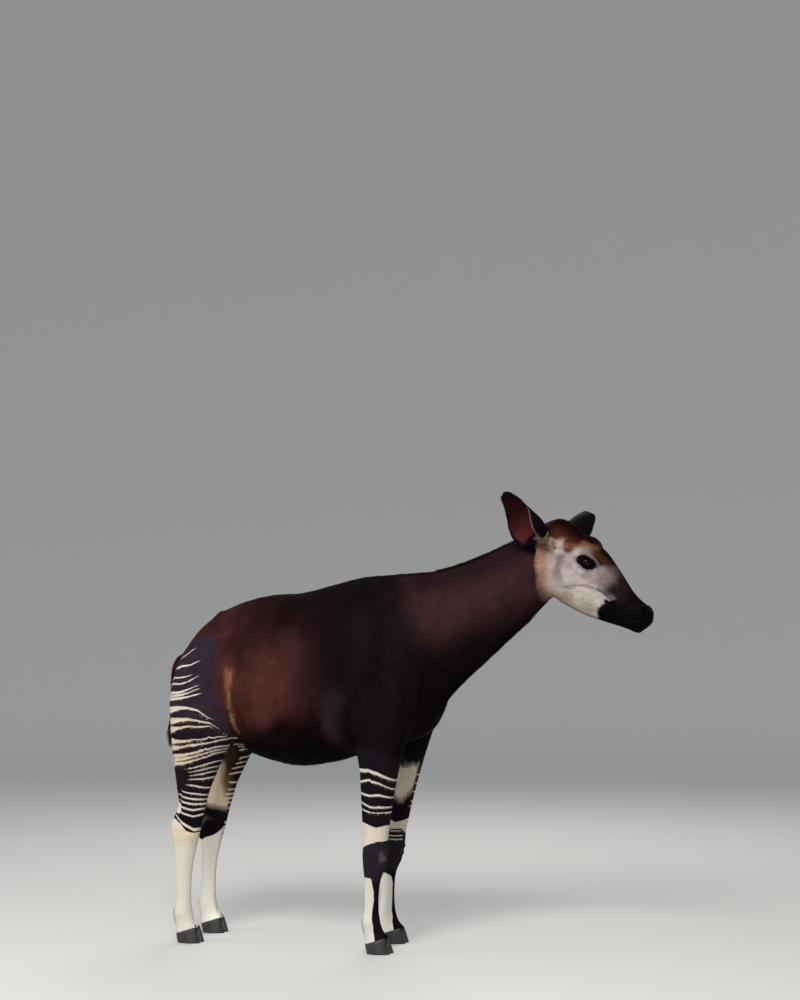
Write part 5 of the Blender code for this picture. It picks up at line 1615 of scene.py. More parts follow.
    def read(self, points: Array, normals: Array, labels: Array) -> Field:
        """Everything the skin carries at the given points.

        Args:
            points: places on the skin, in the layout.
            normals: its unit normals there.
            labels: the region of each point.

        Returns:
            Colours, stripes, bands and zones.
        """
        flat = self.stance.plain(points)[:, [0, 2]]
        inner = self.inner(points, normals)
        fore_w, hind_w = self.stance.leg_weights(points)
        coat = self.body(flat, points)
        pale = np.tile(np.array(self.tones.stripe), (len(points), 1))
        bands = np.tile(np.array([0.5, 0.02, -0.01]), (len(points), 1))
        band = np.full(len(points), -0.02)
        x = flat[:, 0]
        sets = ((x < -0.62, hind_w, self.hind_leg), ((x > -0.30) & (x < 0.12) & (flat[:, 1] < 1.0), fore_w, self.foreleg))
        for mine, weight, reader in sets:
            mine = mine & (points[:, 2] < 1.32) & (np.abs(points[:, 1]) > 0.02)
            legs = reader(flat[mine], inner[mine], points[mine])
            w = weight[mine]
            coat[mine] = mixed(coat[mine], legs[0], w)
            pale[mine] = legs[1]
            bands[mine] = legs[2]
            bands[mine, 2] -= 0.02 * (1 - ease(0.0, 0.5, w))
            band[mine] = legs[3] - 0.03 * (1 - ease(0.2, 0.8, w))
            if reader == self.hind_leg:
                outer = (1 - inner[mine]) * (points[mine, 2] > 0.85) * ease(0.05, 0.09, np.abs(points[mine, 1]))
                bands[mine, 2] = np.maximum(bands[mine, 2], legs[2][:, 2] - 0.02 * (1 - outer))
        zones = np.zeros((len(points), 3))
        zones[:, 0] = np.maximum(fore_w, hind_w) * ease(0.85, 0.65, points[:, 2])
        q = self.head.frame.local(points)
        up = self.stance.beyond(points, self.stance.head_cut)
        on_head = ease(-0.030, 0.012, up) * (points[:, 0] > 0.3) * (q[:, 0] > -0.16)
        some = on_head > 0
        face, bare = self.face(points[some])
        rear = (
            (-0.20, 0.30), (-0.20, -0.30), (0.120, -0.30), (0.110, -0.176), (0.090, -0.140), (0.064, -0.096),
            (0.032, -0.046), (0.003, 0.000), (-0.010, 0.030), (-0.035, 0.090), (-0.060, 0.30),
        )
        behind = self.patch(q[some][:, [0, 2]] + 0.2 * 0.006, rear, 0.005)
        low = self.patch(q[some][:, [0, 2]], ((-0.06, 0.0), (-0.03, 0.05), (0.00, 0.02), (0.02, -0.05), (-0.03, -0.06)), 0.01)
        nape = mixed(coat[some], self.tones.black, 0.9 * low)
        coat[some] = mixed(coat[some], mixed(face, nape, behind), on_head[some])
        band[some] = -0.02
        bands[some, 2] = -0.02
        zones[some, 1] = on_head[some]
        zones[some, 2] = bare
        for region, side in ((Region.EAR_RIGHT, Side.RIGHT), (Region.EAR_LEFT, Side.LEFT)):
            mine = labels == region
            coat[mine] = self.ear(side, points[mine])
            zones[mine] = (0.0, 1.0, 0.0)
        grain = 1 + 0.16 * value_noise(points, 26.0, 11) + 0.10 * value_noise(points, 75.0, 12)
        coat = coat * np.clip(grain, 0.6, 1.4)[:, None]
        return Field(np.clip(coat, 0.001, 0.9), pale, bands, band, zones)


# Materials


class Socket:
    """A shader value that can be added, multiplied and so on, each building one maths node."""

    def __init__(self, graph: "Graph", link: bpy.types.NodeSocket) -> None:
        """Wraps one output of a node."""
        self.graph = graph
        self.link = link

    def _maths(self, operation: str, *values: "Socket | float") -> "Socket":
        """One maths node over these values."""
        return self.graph.node("ShaderNodeMath", {"operation": operation}, *values)

    def __add__(self, other: "Socket | float") -> "Socket":
        """Sum."""
        return self._maths("ADD", self, other)

    def __sub__(self, other: "Socket | float") -> "Socket":
        """Difference."""
        return self._maths("SUBTRACT", self, other)

    def __mul__(self, other: "Socket | float") -> "Socket":
        """Product."""
        return self._maths("MULTIPLY", self, other)

    def __radd__(self, other: float) -> "Socket":
        """Sum, number first."""
        return self._maths("ADD", other, self)

    def __rsub__(self, other: float) -> "Socket":
        """Difference, number first."""
        return self._maths("SUBTRACT", other, self)

    def __rmul__(self, other: float) -> "Socket":
        """Product, number first."""
        return self._maths("MULTIPLY", other, self)

    def peak(self, other: "Socket | float") -> "Socket":
        """The greater of two values."""
        return self._maths("MAXIMUM", self, other)

    def to_whole(self) -> "Socket":
        """Distance to the nearest whole number."""
        return self._maths("PINGPONG", self, 0.5)

    def ease(self, low: float, high: float) -> "Socket":
        """Smooth step from 0 at low to 1 at high."""
        settings = {"interpolation_type": "SMOOTHSTEP"}
        return self.graph.node("ShaderNodeMapRange", settings, self, low, high, 0.0, 1.0)


class Graph:
    """Builds the nodes of one material."""

    def __init__(self, name: str) -> None:
        """Starts a material with a Principled BSDF."""
        self.material = bpy.data.materials.new(name)
        self.material.use_nodes = True
        self.tree = self.material.node_tree
        self.shader = self.tree.nodes["Principled BSDF"]

    def node(self, kind: str, settings: dict, *values: "Socket | float | tuple | None", out: int | str = 0, **named) -> Socket:
        """Adds any node.

        Args:
            kind: its type name.
            settings: its properties, set first.
            values: its inputs in order, None leaving one alone.
            out: which output is returned.
            named: further inputs by name, with underscores for blanks.

        Returns:
            The chosen output.
        """
        node = self.tree.nodes.new(kind)
        for key, value in settings.items():
            setattr(node, key, value)
        pairs = list(zip(node.inputs, values)) + [(node.inputs[k.replace("_", " ")], v) for k, v in named.items()]
        for socket, value in pairs:
            if isinstance(value, Socket):
                self.tree.links.new(value.link, socket)
            elif value is not None:
                socket.default_value = value
        return Socket(self, node.outputs[out])

    def carried(self, name: str, out: str = "Fac") -> Socket:
        """An attribute carried by the mesh."""
        return self.node("ShaderNodeAttribute", {"attribute_name": name}, out=out)

    def place(self) -> Socket:
        """Object coordinates."""
        return self.node("ShaderNodeTexCoord", {}, out="Object")

    def parts(self, vector: Socket) -> tuple[Socket, Socket, Socket]:
        """The three numbers of a vector."""
        node = self.tree.nodes.new("ShaderNodeSeparateXYZ")
        self.tree.links.new(vector.link, node.inputs[0])
        return tuple(Socket(self, out) for out in node.outputs)

    def mapped(self, vector: Socket, turn: tuple, scale: tuple) -> Socket:
        """A vector turned back by three angles, then scaled along its axes."""
        turned = self.node(
            "ShaderNodeVectorRotate", {"rotation_type": "EULER_XYZ", "invert": True}, vector, Rotation=turn
        )
        return self.node("ShaderNodeVectorMath", {"operation": "MULTIPLY"}, turned, scale)

    def noise(self, vector: Socket, scale: float, detail: float = 2.0) -> Socket:
        """Noise in 0..1."""
        return self.node("ShaderNodeTexNoise", {}, vector, Scale=scale, Detail=detail)

    def blend(self, share: Socket, first: Socket | tuple, second: Socket | tuple) -> Socket:
        """Mix of two colours."""
        node = self.tree.nodes.new("ShaderNodeMix")
        node.data_type = "RGBA"
        for index, value in ((0, share), (6, first), (7, second)):
            if isinstance(value, Socket):
                self.tree.links.new(value.link, node.inputs[index])
            else:
                node.inputs[index].default_value = value
        return Socket(self, node.outputs[2])

    def scaled(self, colour: Socket, factor: Socket) -> Socket:
        """A colour times a number."""
        return self.node("ShaderNodeVectorMath", {"operation": "SCALE"}, colour, Scale=factor)

    def finish(self, links: dict, values: dict) -> bpy.types.Material:
        """Links and sets inputs of the Principled BSDF.

        Args:
            links: input name to varying socket.
            values: input name to constant.

        Returns:
            The material.
        """
        for name, socket in links.items():
            self.tree.links.new(socket.link, self.shader.inputs[name])
        for name, value in values.items():
            self.shader.inputs[name].default_value = value
        return self.material


@dataclass(frozen=True)
class CoatFinish:
    """Short hair seen as a surface: colours carried by the mesh, stripes, and bump along the lie."""

    name: str = "short_coat"
    slope: float = math.radians(36.0)

    def build(self) -> bpy.types.Material:
        """White where a stripe or band is nearer than its edge, coat elsewhere, with hair noise."""
        g = Graph(self.name)
        place = g.place()
        leg, head, bare = g.parts(g.carried("zones", "Vector"))
        body = g.noise(g.mapped(place, (0.0, math.radians(-28.0), 0.0), (60.0, 330.0, 330.0)), 1.0)
        down = g.noise(g.mapped(place, (0.0, 0.0, 0.0), (420.0, 420.0, 75.0)), 1.0)
        face = g.noise(g.mapped(place, (0.0, self.slope, 0.0), (130.0, 620.0, 620.0)), 1.0)
        hair = body + leg * (down - body)
        hair = hair + head * (face - hair)
        clumps = g.noise(g.mapped(place, (0.0, math.radians(-30.0), 0.0), (14.0, 46.0, 46.0)), 1.0)
        pores = g.noise(place, 900.0, 1.0)
        phase, spacing, half = g.parts(g.carried("bands", "Vector"))
        stripe = half - spacing * phase.to_whole()
        edge = stripe.peak(g.carried("band")) + (hair - 0.5) * 0.0011
        white = edge.ease(-0.0012, 0.0014)
        colour = g.blend(white, g.carried("coat", "Color"), g.carried("pale", "Color"))
        shade = 0.62 + hair * 0.55 + (clumps - 0.5) * 0.45
        soft = 0.90 + hair * 0.20
        tone = shade + white * (soft - shade)
        colour = g.scaled(colour, tone + bare * (1.0 - tone))
        lift = hair * 0.0011 * (1.0 - bare) + clumps * 0.0022 * (1.0 - leg) * (1.0 - head) + pores * bare * 0.00035
        normal = g.node("ShaderNodeBump", {}, Strength=0.75, Distance=1.0, Height=lift)
        rough = 0.44 - bare * 0.10 + white * 0.25 + hair * 0.12
        values = {"Specular IOR Level": 0.006}
        return g.finish({"Base Color": colour, "Roughness": rough, "Normal": normal}, values)


@dataclass(frozen=True)
class TuftFinish:
    """Hair tufts: their own colour with fine streaks along them."""

    name: str = "tufts"
    roughness: float = 0.52

    def build(self) -> bpy.types.Material:
        """Colour from the mesh, a little streaked."""
        g = Graph(self.name)
        streak = g.noise(g.place(), 520.0, 1.0)
        colour = g.scaled(g.carried("hair", "Color"), 0.80 + streak * 0.40)
        values = {"Roughness": self.roughness, "Specular IOR Level": 0.006}
        return g.finish({"Base Color": colour}, values)


@dataclass(frozen=True)
class EyeFinish:
    """Wet dark eye with a brown iris drawn in the mesh."""

    name: str = "wet_eye"

    def build(self) -> bpy.types.Material:
        """Colour from the mesh, with a very smooth surface."""
        g = Graph(self.name)
        values = {"Roughness": 0.05, "Specular IOR Level": 0.14}
        return g.finish({"Base Color": g.carried("iris", "Color")}, values)


@dataclass(frozen=True)
class HornFinish:
    """Hoof horn: dark with growth rings parallel to the coronet, paler towards the coronet."""

    name: str = "hoof_horn"

    def build(self) -> bpy.types.Material:
        """Rings from a wave in the height, fine grain down the wall."""
        g = Graph(self.name)
        place = g.place()
        rise = g.carried("rise")
        grain = g.noise(g.mapped(place, (0.0, 0.0, 0.0), (700.0, 700.0, 60.0)), 1.0)
        broad = g.noise(place, 40.0)
        rings = g.node("ShaderNodeMath", {"operation": "SINE"}, rise * 62.0 + broad * 5.0)
        tone = (grain * 0.5 + rings * 0.12 + broad * 0.4).ease(0.15, 0.85)
        colour = g.blend(tone, (0.005, 0.004, 0.004, 1.0), (0.021, 0.017, 0.015, 1.0))
        colour = g.blend(rise.ease(0.72, 1.0) * 0.7, colour, (0.045, 0.036, 0.030, 1.0))
        lift = rings * 0.00035 + grain * 0.0003
        normal = g.node("ShaderNodeBump", {}, Strength=0.8, Distance=1.0, Height=lift)
        return g.finish({"Base Color": colour, "Normal": normal, "Roughness": 0.42 + grain * 0.2}, {})


@dataclass(frozen=True)
class FloorFinish:
    """Plain pale floor."""

    name: str = "studio_floor"
    colour: tuple = (0.52, 0.515, 0.50, 1.0)

    def build(self) -> bpy.types.Material:
        """One colour, matt."""
        return Graph(self.name).finish({}, {"Base Color": self.colour, "Roughness": 0.85, "Specular IOR Level": 0.1})


def carry(mesh: bpy.types.Mesh, name: str, values: Array) -> None:
    """Writes one value per point: a number, a vector, or a colour when the name asks for one."""
    if values.ndim == 1:
        mesh.attributes.new(name, "FLOAT", "POINT").data.foreach_set("value", values.astype(np.float32))
    elif name in ("bands", "zones"):
        data = mesh.attributes.new(name, "FLOAT_VECTOR", "POINT").data
        data.foreach_set("vector", values.astype(np.float32).ravel())
    else:
        data = mesh.attributes.new(name, "FLOAT_COLOR", "POINT").data
        rgba = np.concatenate([values, np.ones((len(values), 1))], 1)
        data.foreach_set("color", rgba.astype(np.float32).ravel())


def set_map(mesh: bpy.types.Mesh, corners: Array) -> None:
    """Gives a mesh of triangles its OFBake map."""
    layer = mesh.uv_layers.new(name="OFBake")
    layer.data.foreach_set("uv", corners.astype(np.float32).ravel())


# Pieces


@dataclass
class Skin:
    """The one skin of the animal."""

    trunk: Trunk
    legs: Legs
    head: Head
    stance: Stance
    voxel: float = 0.006
    body_passes: int = 20
    head_passes: int = 9
    depth_body: float = 0.0028
    depth_leg: float = 0.0018
    depth_head: float = 0.0012
    torso_faces: int = 21000
    leg_faces: int = 38000
    head_faces: int = 30000
    surface: Surface | None = None
    labels: Array | None = None

    def build(self) -> Surface:
        """Rebuilds, softens, models, thins, refines and joins the ears."""
        rough = Surface.joined(self.trunk.masses() + self.legs.masses() + self.head.masses())
        body = rough.rebuilt(self.voxel).outward()
        up = self.stance.beyond(body.points, self.stance.head_cut) * (body.points[:, 0] > 0.3)
        on_head = ease(-0.05, 0.0, up)
        low = ease(0.030, 0.060, body.points[:, 2])
        body.eased((1 - on_head) * low, self.body_passes - self.head_passes)
        body.eased(np.maximum(low, 0.3), self.head_passes)
        body = self.modelled(body)
        labels = self.stance.regions(body.points)
        trunk = np.isin(labels, (Region.TORSO, Region.NECK)) & (self.stance.beyond(body.points, self.stance.head_cut) < -0.02)
        trunk &= ~((body.points[:, 0] < -0.76) & (body.points[:, 2] < 1.26) & (np.abs(body.points[:, 1]) > 0.05))
        inside = trunk[body.faces].all(axis=1).sum()
        body = body.thinned(trunk.astype(float), len(body.faces) - inside + self.torso_faces)
        labels = self.stance.regions(body.points)
        limbs = (labels >= Region.FORE_RIGHT) & (body.points[:, 2] > 0.055)
        inside = limbs[body.faces].all(axis=1).sum()
        body = body.thinned(limbs.astype(float), len(body.faces) - inside + self.leg_faces)
        body = self.detailed(body)
        for side, ear in self.head.ears.items():
            before = len(body.faces)
            body = body.united(ear.surface())
            LOG.info("ear %s joined: %d to %d triangles", side.name.lower(), before, len(body.faces))
        body = self.ears_blended(body).outward()
        self.surface = body
        self.labels = self.region_labels(body.points)
        return body

    def modelled(self, body: Surface) -> Surface:
        """Sinks the skin by the coat's depth and raises muscles, bones and folds."""
        points = body.points
        labels = self.stance.regions(points)
        fore_w, hind_w = self.stance.leg_weights(points)
        leg = np.maximum(fore_w, hind_w)
        q = self.head.frame.local(points)
        on_head = labels == Region.HEAD
        depth = self.depth_body + (self.depth_leg - self.depth_body) * leg
        depth = np.where(on_head, self.depth_head * ease(0.45, 0.30, q[:, 0]), depth)
        normals = body.normals()
        flat = self.stance.plain(points)[:, [0, 2]]
        lift = np.where(on_head, 0.0, self.trunk.lift(flat, points, normals) * ease(0.62, 0.80, points[:, 2]))
        lift = lift + leg * self.legs.lift(flat, points, normals)
        unrest = 0.0016 * value_noise(points, 11.0, 1) + 0.0008 * value_noise(points, 28.0, 2)
        lift = lift + unrest * (1 - leg) * ~on_head
        grown = points + normals * (lift - depth)[:, None]
        floor_limit = ease(0.030, 0.055, points[:, 2])[:, None]
        return Surface(points + (grown - points) * floor_limit, body.faces)

    def detailed(self, body: Surface) -> Surface:
        """Finer triangles on the head, then finer ones at lids, nostrils and lips, then modelling."""
        q = self.head.frame.local(body.points)
        up = self.stance.beyond(body.points, self.stance.head_cut)
        body = body.refined((up > 0.004) & (q[:, 0] > -0.02) & (body.points[:, 0] > 0.4))
        for level in range(2):
            q = self.head.frame.local(body.points)
            chosen = np.zeros(len(q), bool)
            for side, eye in self.head.eyes.items():
                e = eye.local(q)
                reach = np.hypot(e[:, 0] / 1.25, e[:, 1])
                chosen |= (reach < (0.033, 0.0255)[level]) & (e[:, 2] > -0.002)
                chosen |= self.head.nostril_gap(q, side) < (0.010, 0.0060)[level]
            lips = path_distance(q, self.head.lip_line())[0]
            chosen |= lips < (0.0095, 0.0050)[level]
            body = body.refined(chosen & (body.points[:, 0] > 0.5))
        body = self.head.sculpt(body)
        q = self.head.frame.local(body.points)
        plain = (self.stance.beyond(body.points, self.stance.head_cut) > 0.002) & (body.points[:, 0] > 0.4)
        for side, eye in self.head.eyes.items():
            e = eye.local(q)
            plain &= ~((np.hypot(e[:, 0] / 1.25, e[:, 1]) < 0.031) & (e[:, 2] > -0.006))
            plain &= self.head.nostril_gap(q, side) > 0.008
        plain &= path_distance(q, self.head.lip_line())[0] > 0.008
        inside = plain[body.faces].all(axis=1).sum()
        return body.thinned(plain.astype(float), len(body.faces) - inside + self.head_faces)

    def ears_blended(self, body: Surface) -> Surface:
        """Softens the skin where the ears grow out of it."""
        weight = np.zeros(len(body.points))
        for ear in self.head.ears.values():
            share, _, _, _ = ear.place(body.points)
            near = np.linalg.norm(body.points - np.array(ear.root), axis=1)
            weight = np.maximum(weight, ease(0.17, 0.09, share) * ease(0.075, 0.055, near))
        return body.eased(weight, 6)

    def region_labels(self, points: Array) -> Array:
        """Region of each point, ears included."""
        labels = self.stance.regions(points)
        for region, side in ((Region.EAR_RIGHT, Side.RIGHT), (Region.EAR_LEFT, Side.LEFT)):
            share, swing, _, away = self.head.ears[side].place(points)
            mine = (share > 0.06) & (share < 1.1) & (np.abs(swing) < 1.25) & (away < 0.008)
            near = np.linalg.norm(points - np.array(self.head.ears[side].root), axis=1) < 0.30
            labels = np.where(mine & near, int(region), labels)
        return labels

    def dress(self, markings: Markings, unwrap: Unwrap, material: bpy.types.Material) -> bpy.types.Object:
        """Makes the object with its colours, stripes and map."""
        read = markings.read(self.surface.points, self.surface.normals(), self.labels)
        obj = self.surface.to_object("skin")
        for name in ("coat", "pale", "bands", "band", "zones"):
            carry(obj.data, name, getattr(read, name))
        centres = self.surface.points[self.surface.faces].mean(axis=1)
        set_map(obj.data, unwrap.corners(self.surface, self.region_labels(centres)))
        obj.data.materials.append(material)
        return obj


@dataclass
class EyeBall:
    """One eyeball with cornea, iris and a level pupil."""

    shape: EyeShape
    head: HeadFrame
    bulge: float = 0.0010

    def build(self, material: bpy.types.Material) -> bpy.types.Object:
        """Sphere whose pole looks out of the lids, raised a little over the iris."""
        rings, sides = 60, 72
        u = np.linspace(0.012, math.pi - 0.012, rings)[:, None]
        v = np.linspace(0.0, 2 * math.pi, sides, endpoint=False)[None, :]
        r = (self.shape.radius - 0.0002 + self.bulge * ease(0.62, 0.30, u)) + 0 * v
        local = np.stack([r * np.sin(u) * np.cos(v), r * np.sin(u) * np.sin(v), r * np.cos(u) + 0 * v], -1)
        flat = local @ self.shape.axes().T + self.shape.centre()
        surface = tube(self.head.world(flat))
        x, y, z = self.shape.local(self.head.local(surface.points)).T
        out = np.hypot(x, y)
        turn = np.arctan2(y, x)
        pupil = ease(0.0016, -0.0008, np.hypot(x / 0.0088, y / 0.0046) * 0.006 - 0.006)
        streak = 0.75 + 0.35 * np.sin(turn * 37.0 + 2.0 * np.sin(turn * 11.0))
        iris = np.array([0.008, 0.004, 0.003]) * (streak * ease(0.002, 0.011, out))[:, None]
        colour = mixed(iris, (0.0015, 0.0013, 0.0015), pupil)
        rim = ease(0.0118, 0.0142, out) + (z < 0)
        colour = mixed(colour, (0.004, 0.003, 0.003), np.clip(rim, 0, 1))
        obj = surface.to_object(f"eyeball_{self.shape.side.name.lower()}")
        carry(obj.data, "iris", colour)
        obj.data.materials.append(material)
        return obj


@dataclass
class Hooves:
    """Four cloven feet, finer than the solids and in the same place."""

    stance: Stance
    legs: Legs
    width: float = 0.046
    cleft: float = 0.004
    gap: float = 0.0003

    def hoof(self, x0: float, y0: float, side: float) -> tuple[Surface, Array]:
        """One toe: flat sole, wall leaning back to the coronet, edges rounded, two faint ripples.

        x = L/2 cos a (1 - 0.16 t) - 0.016 t, y = W/2 sign(sin a) |sin a|^0.7 (1 - 0.42 max(0, cos a)^1.5)
        (1 - 0.06 t), and z rises with t to the coronet above that place.
        """
        t = np.concatenate([[0.0, 0.03], np.linspace(0.08, 0.97, 22), [1.0]])[:, None]
        angle = np.linspace(0.0, 2 * math.pi, 44, endpoint=False)[None, :]
        c, s = np.cos(angle), np.sin(angle)
        trim = 1.0 - 0.035 * ease(0.05, 0.0, t) - 0.03 * ease(0.97, 1.0, t) + 0.006 * np.sin(t * 34.0) * (t > 0.05)
        x = (self.legs.hoof_length / 2 * c * (1 - 0.16 * t)) * trim - 0.016 * t
        half = self.width / 2 * (1 - 0.42 * np.maximum(0, c) ** 1.5) * (1 - 0.06 * t)
        y = half * np.sign(s) * np.abs(s) ** 0.7 * trim + side * 0.006 * np.maximum(0, c) * (1 - t)
        share = (x + self.legs.hoof_length / 2) / self.legs.hoof_length
        top = self.legs.coronet_heel + (self.legs.coronet_front - self.legs.coronet_heel) * share
        surface = tube(np.stack([x + x0, y + y0, (top - self.gap) * t], -1))
        rise = np.append(np.repeat(t[:, 0], 44), [0.0, 1.0])
        return surface, rise

    def build(self, material: bpy.types.Material) -> bpy.types.Object:
        """All eight toes in one mesh."""
        parts, rises = [], []
        for fore in (True, False):
            for side in Side:
                stand = self.stance.fore if fore else self.stance.hind
                x0 = (self.legs.fore_hoof_x if fore else self.legs.hind_hoof_x) - self.stance.set_back(fore, side)
                for toe in (-1, 1):
                    y0 = side.value * (stand + toe * (self.width + self.cleft) / 2)
                    surface, rise = self.hoof(x0, y0, -toe * side.value)
                    parts.append(surface)
                    rises.append(rise)
        obj = Surface.joined(parts).to_object("hooves")
        carry(obj.data, "rise", np.concatenate(rises))
        obj.data.materials.append(material)
        return obj


@dataclass
class Roots:
    """Places on the skin where tufts grow, with all that a tuft needs to know."""

    points: Array
    normals: Array
    lie: Array
    labels: Array
    colours: Array
    sheet: Array

    def picked(self, chosen: Array) -> "Roots":
        """Only some of the roots."""
        return Roots(*(getattr(self, n)[chosen] for n in ("points", "normals", "lie", "labels", "colours", "sheet")))


@dataclass(frozen=True)
class TuftKind:
    """Sizes of one sort of tuft, and how it stands."""

    length: float
    width: float
    thickness: float
    stand: float
    droop: float = 0.0
    curl: float = 0.0
    rings: int = 2
    patch: float = 0.003


@dataclass
class Coat:
    """Tufts over the skin."""

    skin: Skin
    markings: Markings
    unwrap: Unwrap
    seed: int = SEED

    def lie(self, points: Array, normals: Array, labels: Array) -> Array:
        """Which way the hair lies: back and down on the barrel, down the legs, back over the face."""
        fore_w, hind_w = self.skin.stance.leg_weights(points)
        leg = np.maximum(fore_w, hind_w)[:, None]
        turn = self.skin.head.frame.matrix()
        q = self.skin.head.frame.local(points)
        way = np.tile(np.array([-0.88, 0.0, -0.48]), (len(points), 1))
        neck = ease(-0.05, 0.15, self.skin.stance.beyond(points, self.skin.stance.neck_cut))[:, None]
        way = way + (np.array([-0.62, 0.0, -0.78]) - way) * neck
        way = way + (np.array([-0.10, 0.0, -1.0]) - way) * leg
        sag = np.where(q[:, 2] > 0.05, 0.10, -0.35)
        face = np.stack([-np.ones(len(q)), np.zeros(len(q)), sag], 1) @ turn.T
        way = np.where((labels == Region.HEAD)[:, None], face, way)
        for region, side in ((Region.EAR_RIGHT, Side.RIGHT), (Region.EAR_LEFT, Side.LEFT)):
            way = np.where((labels == region)[:, None], self.skin.head.ears[side].matrix()[:, 0], way)
        swirl = 0.25 * np.stack([value_noise(points, 12.0, 20 + k) for k in range(3)], 1)
        way = way + swirl
        way = way - normals * np.einsum("ij,ij->i", way, normals)[:, None]
        return unit(way)

    def sample(self, count: int, density: "callable", seed: int) -> Roots:
        """Random places on the skin.

        Args:
            count: how many.
            density: takes points, normals and labels of triangles, gives their weight.
            seed: of the random numbers.

        Returns:
            The roots, with colours of coat and stripes read there.
        """
        rng = np.random.default_rng(self.seed + seed)
        surface = self.skin.surface
        flat = surface.face_normals()
        area = np.linalg.norm(flat, axis=1)
        centres = surface.points[surface.faces].mean(axis=1)
        labels = self.skin.region_labels(centres)
        weight = area * density(centres, unit(flat), labels)
        pick = rng.choice(len(weight), size=count, p=weight / weight.sum())
        r1, r2 = np.sqrt(rng.random(count)), rng.random(count)
        bary = np.stack([1 - r1, r1 * (1 - r2), r1 * r2], 1)[:, :, None]
        corners = surface.faces[pick]
        points = (surface.points[corners] * bary).sum(axis=1)
        normals = unit((surface.normals()[corners] * bary).sum(axis=1))
        labels = labels[pick]
        read = self.markings.read(points, normals, labels)
        white = read.white(rng.uniform(-1.0, 1.0, count))
        colours = mixed(read.coat, read.pale, white)
        lie = self.lie(points, normals, labels)
        return Roots(points, normals, lie, labels, colours, self.unwrap.roots(points, labels))

    def tufts(self, name: str, roots: Roots, kind: TuftKind, scale: Array, material: bpy.types.Material, seed: int) -> bpy.types.Object:
        """Joined tapered blades.

        With s from 0 at the root to 1 at the tip, the middle line is root + lie L s + normal
        (stand L (s + curl s (1 - s)) - sunk) + down droop L s^2. Each ring is a low triangle whose
        width falls as (1 - s)^0.7.

        Args:
            name: of the piece.
            roots: where they grow.
            kind: their sizes.
            scale: of each tuft.
            material: their finish.
            seed: of the random numbers.

        Returns:
            The piece.
        """
        rng = np.random.default_rng(self.seed + seed)
        n = len(roots.points)
        length = kind.length * scale * rng.uniform(0.75, 1.25, n)
        width = kind.width * np.clip(scale, 0.5, 1.5) * rng.uniform(0.8, 1.2, n)
        stand = kind.stand * rng.uniform(0.4, 1.7, n)
        across = np.cross(roots.normals, roots.lie)
        skew = rng.uniform(-0.22, 0.22, n)
        way = unit(roots.lie + across * skew[:, None])
        across = np.cross(roots.normals, way)
        count = kind.rings
        s = np.linspace(0.0, 1.0, count + 1)[None, :]
        rise = stand[:, None] * length[:, None] * (s + kind.curl * s * (1 - s)) - 0.0005 * (1 - s)
        line = roots.points[:, None] + way[:, None] * (length[:, None] * s)[..., None]
        line = line + roots.normals[:, None] * rise[..., None]
        line[..., 2] -= kind.droop * length[:, None] * s**2
        taper = (1 - s[:, :count]) ** 0.7 * (1 - 0.25 * (s[:, :count] < 0.01))
        half = (width[:, None] * taper / 2)[..., None]
        thick = (kind.thickness * taper)[..., None] * np.ones((n, 1, 1))
        ring = line[:, :count]
        up, side = roots.normals[:, None], across[:, None]
        three = np.stack([ring - side * half, ring + side * half, ring + up * thick], 2)
        points = np.concatenate([three.reshape(n, count * 3, 3), line[:, count:]], 1)
        faces = [(0, 1, 2)]
        for k in range(count - 1):
            low, high = 3 * k, 3 * k + 3
            for i in range(3):
                j = (i + 1) % 3
                faces += [(low + i, high + j, low + j), (low + i, high + i, high + j)]
        low, tip = 3 * (count - 1), 3 * count
        faces += [(low + i, tip, low + (i + 1) % 3) for i in range(3)]
        faces = np.array(faces)
        size = 3 * count + 1
        surface = Surface(points.reshape(-1, 3), (faces[None] + np.arange(n)[:, None, None] * size).reshape(-1, 3))
        surface.outward()
        # Each tuft gets a random tone, and painted shade: darker at the root, lighter towards the tip.
        shade = rng.uniform(0.82, 1.20, n)[:, None] * np.concatenate([np.repeat(0.94 + 0.12 * s[0, :count], 3), [1.08]])[None]
        colours = np.clip(roots.colours[:, None] * shade[..., None], 0.0, 0.85)
        across_uv = np.tile([-1.0, 1.0, 0.0], count)
        along_uv = np.repeat(s[0, :count] - 0.5, 3)
        patch = np.stack([np.append(across_uv, 0.0) * 0.5, np.append(along_uv, 0.5)], 1) * kind.patch
        uv = roots.sheet[:, None] + patch[None]
        obj = surface.to_object(name)
        leaning = np.concatenate([np.tile([-0.45, 0.45, 0.0], count), [0.0]])[None, :, None]
        facing = unit(roots.normals[:, None] + leaning * across[:, None] + 0.10 * way[:, None])
        obj.data.attributes.new("custom_normal", "FLOAT_VECTOR", "POINT").data.foreach_set(
            "vector", facing.astype(np.float32).ravel()
        )
        carry(obj.data, "hair", colours.reshape(-1, 3))
        set_map(obj.data, uv.reshape(-1, 2)[surface.faces])
        obj.data.materials.append(material)
        return obj


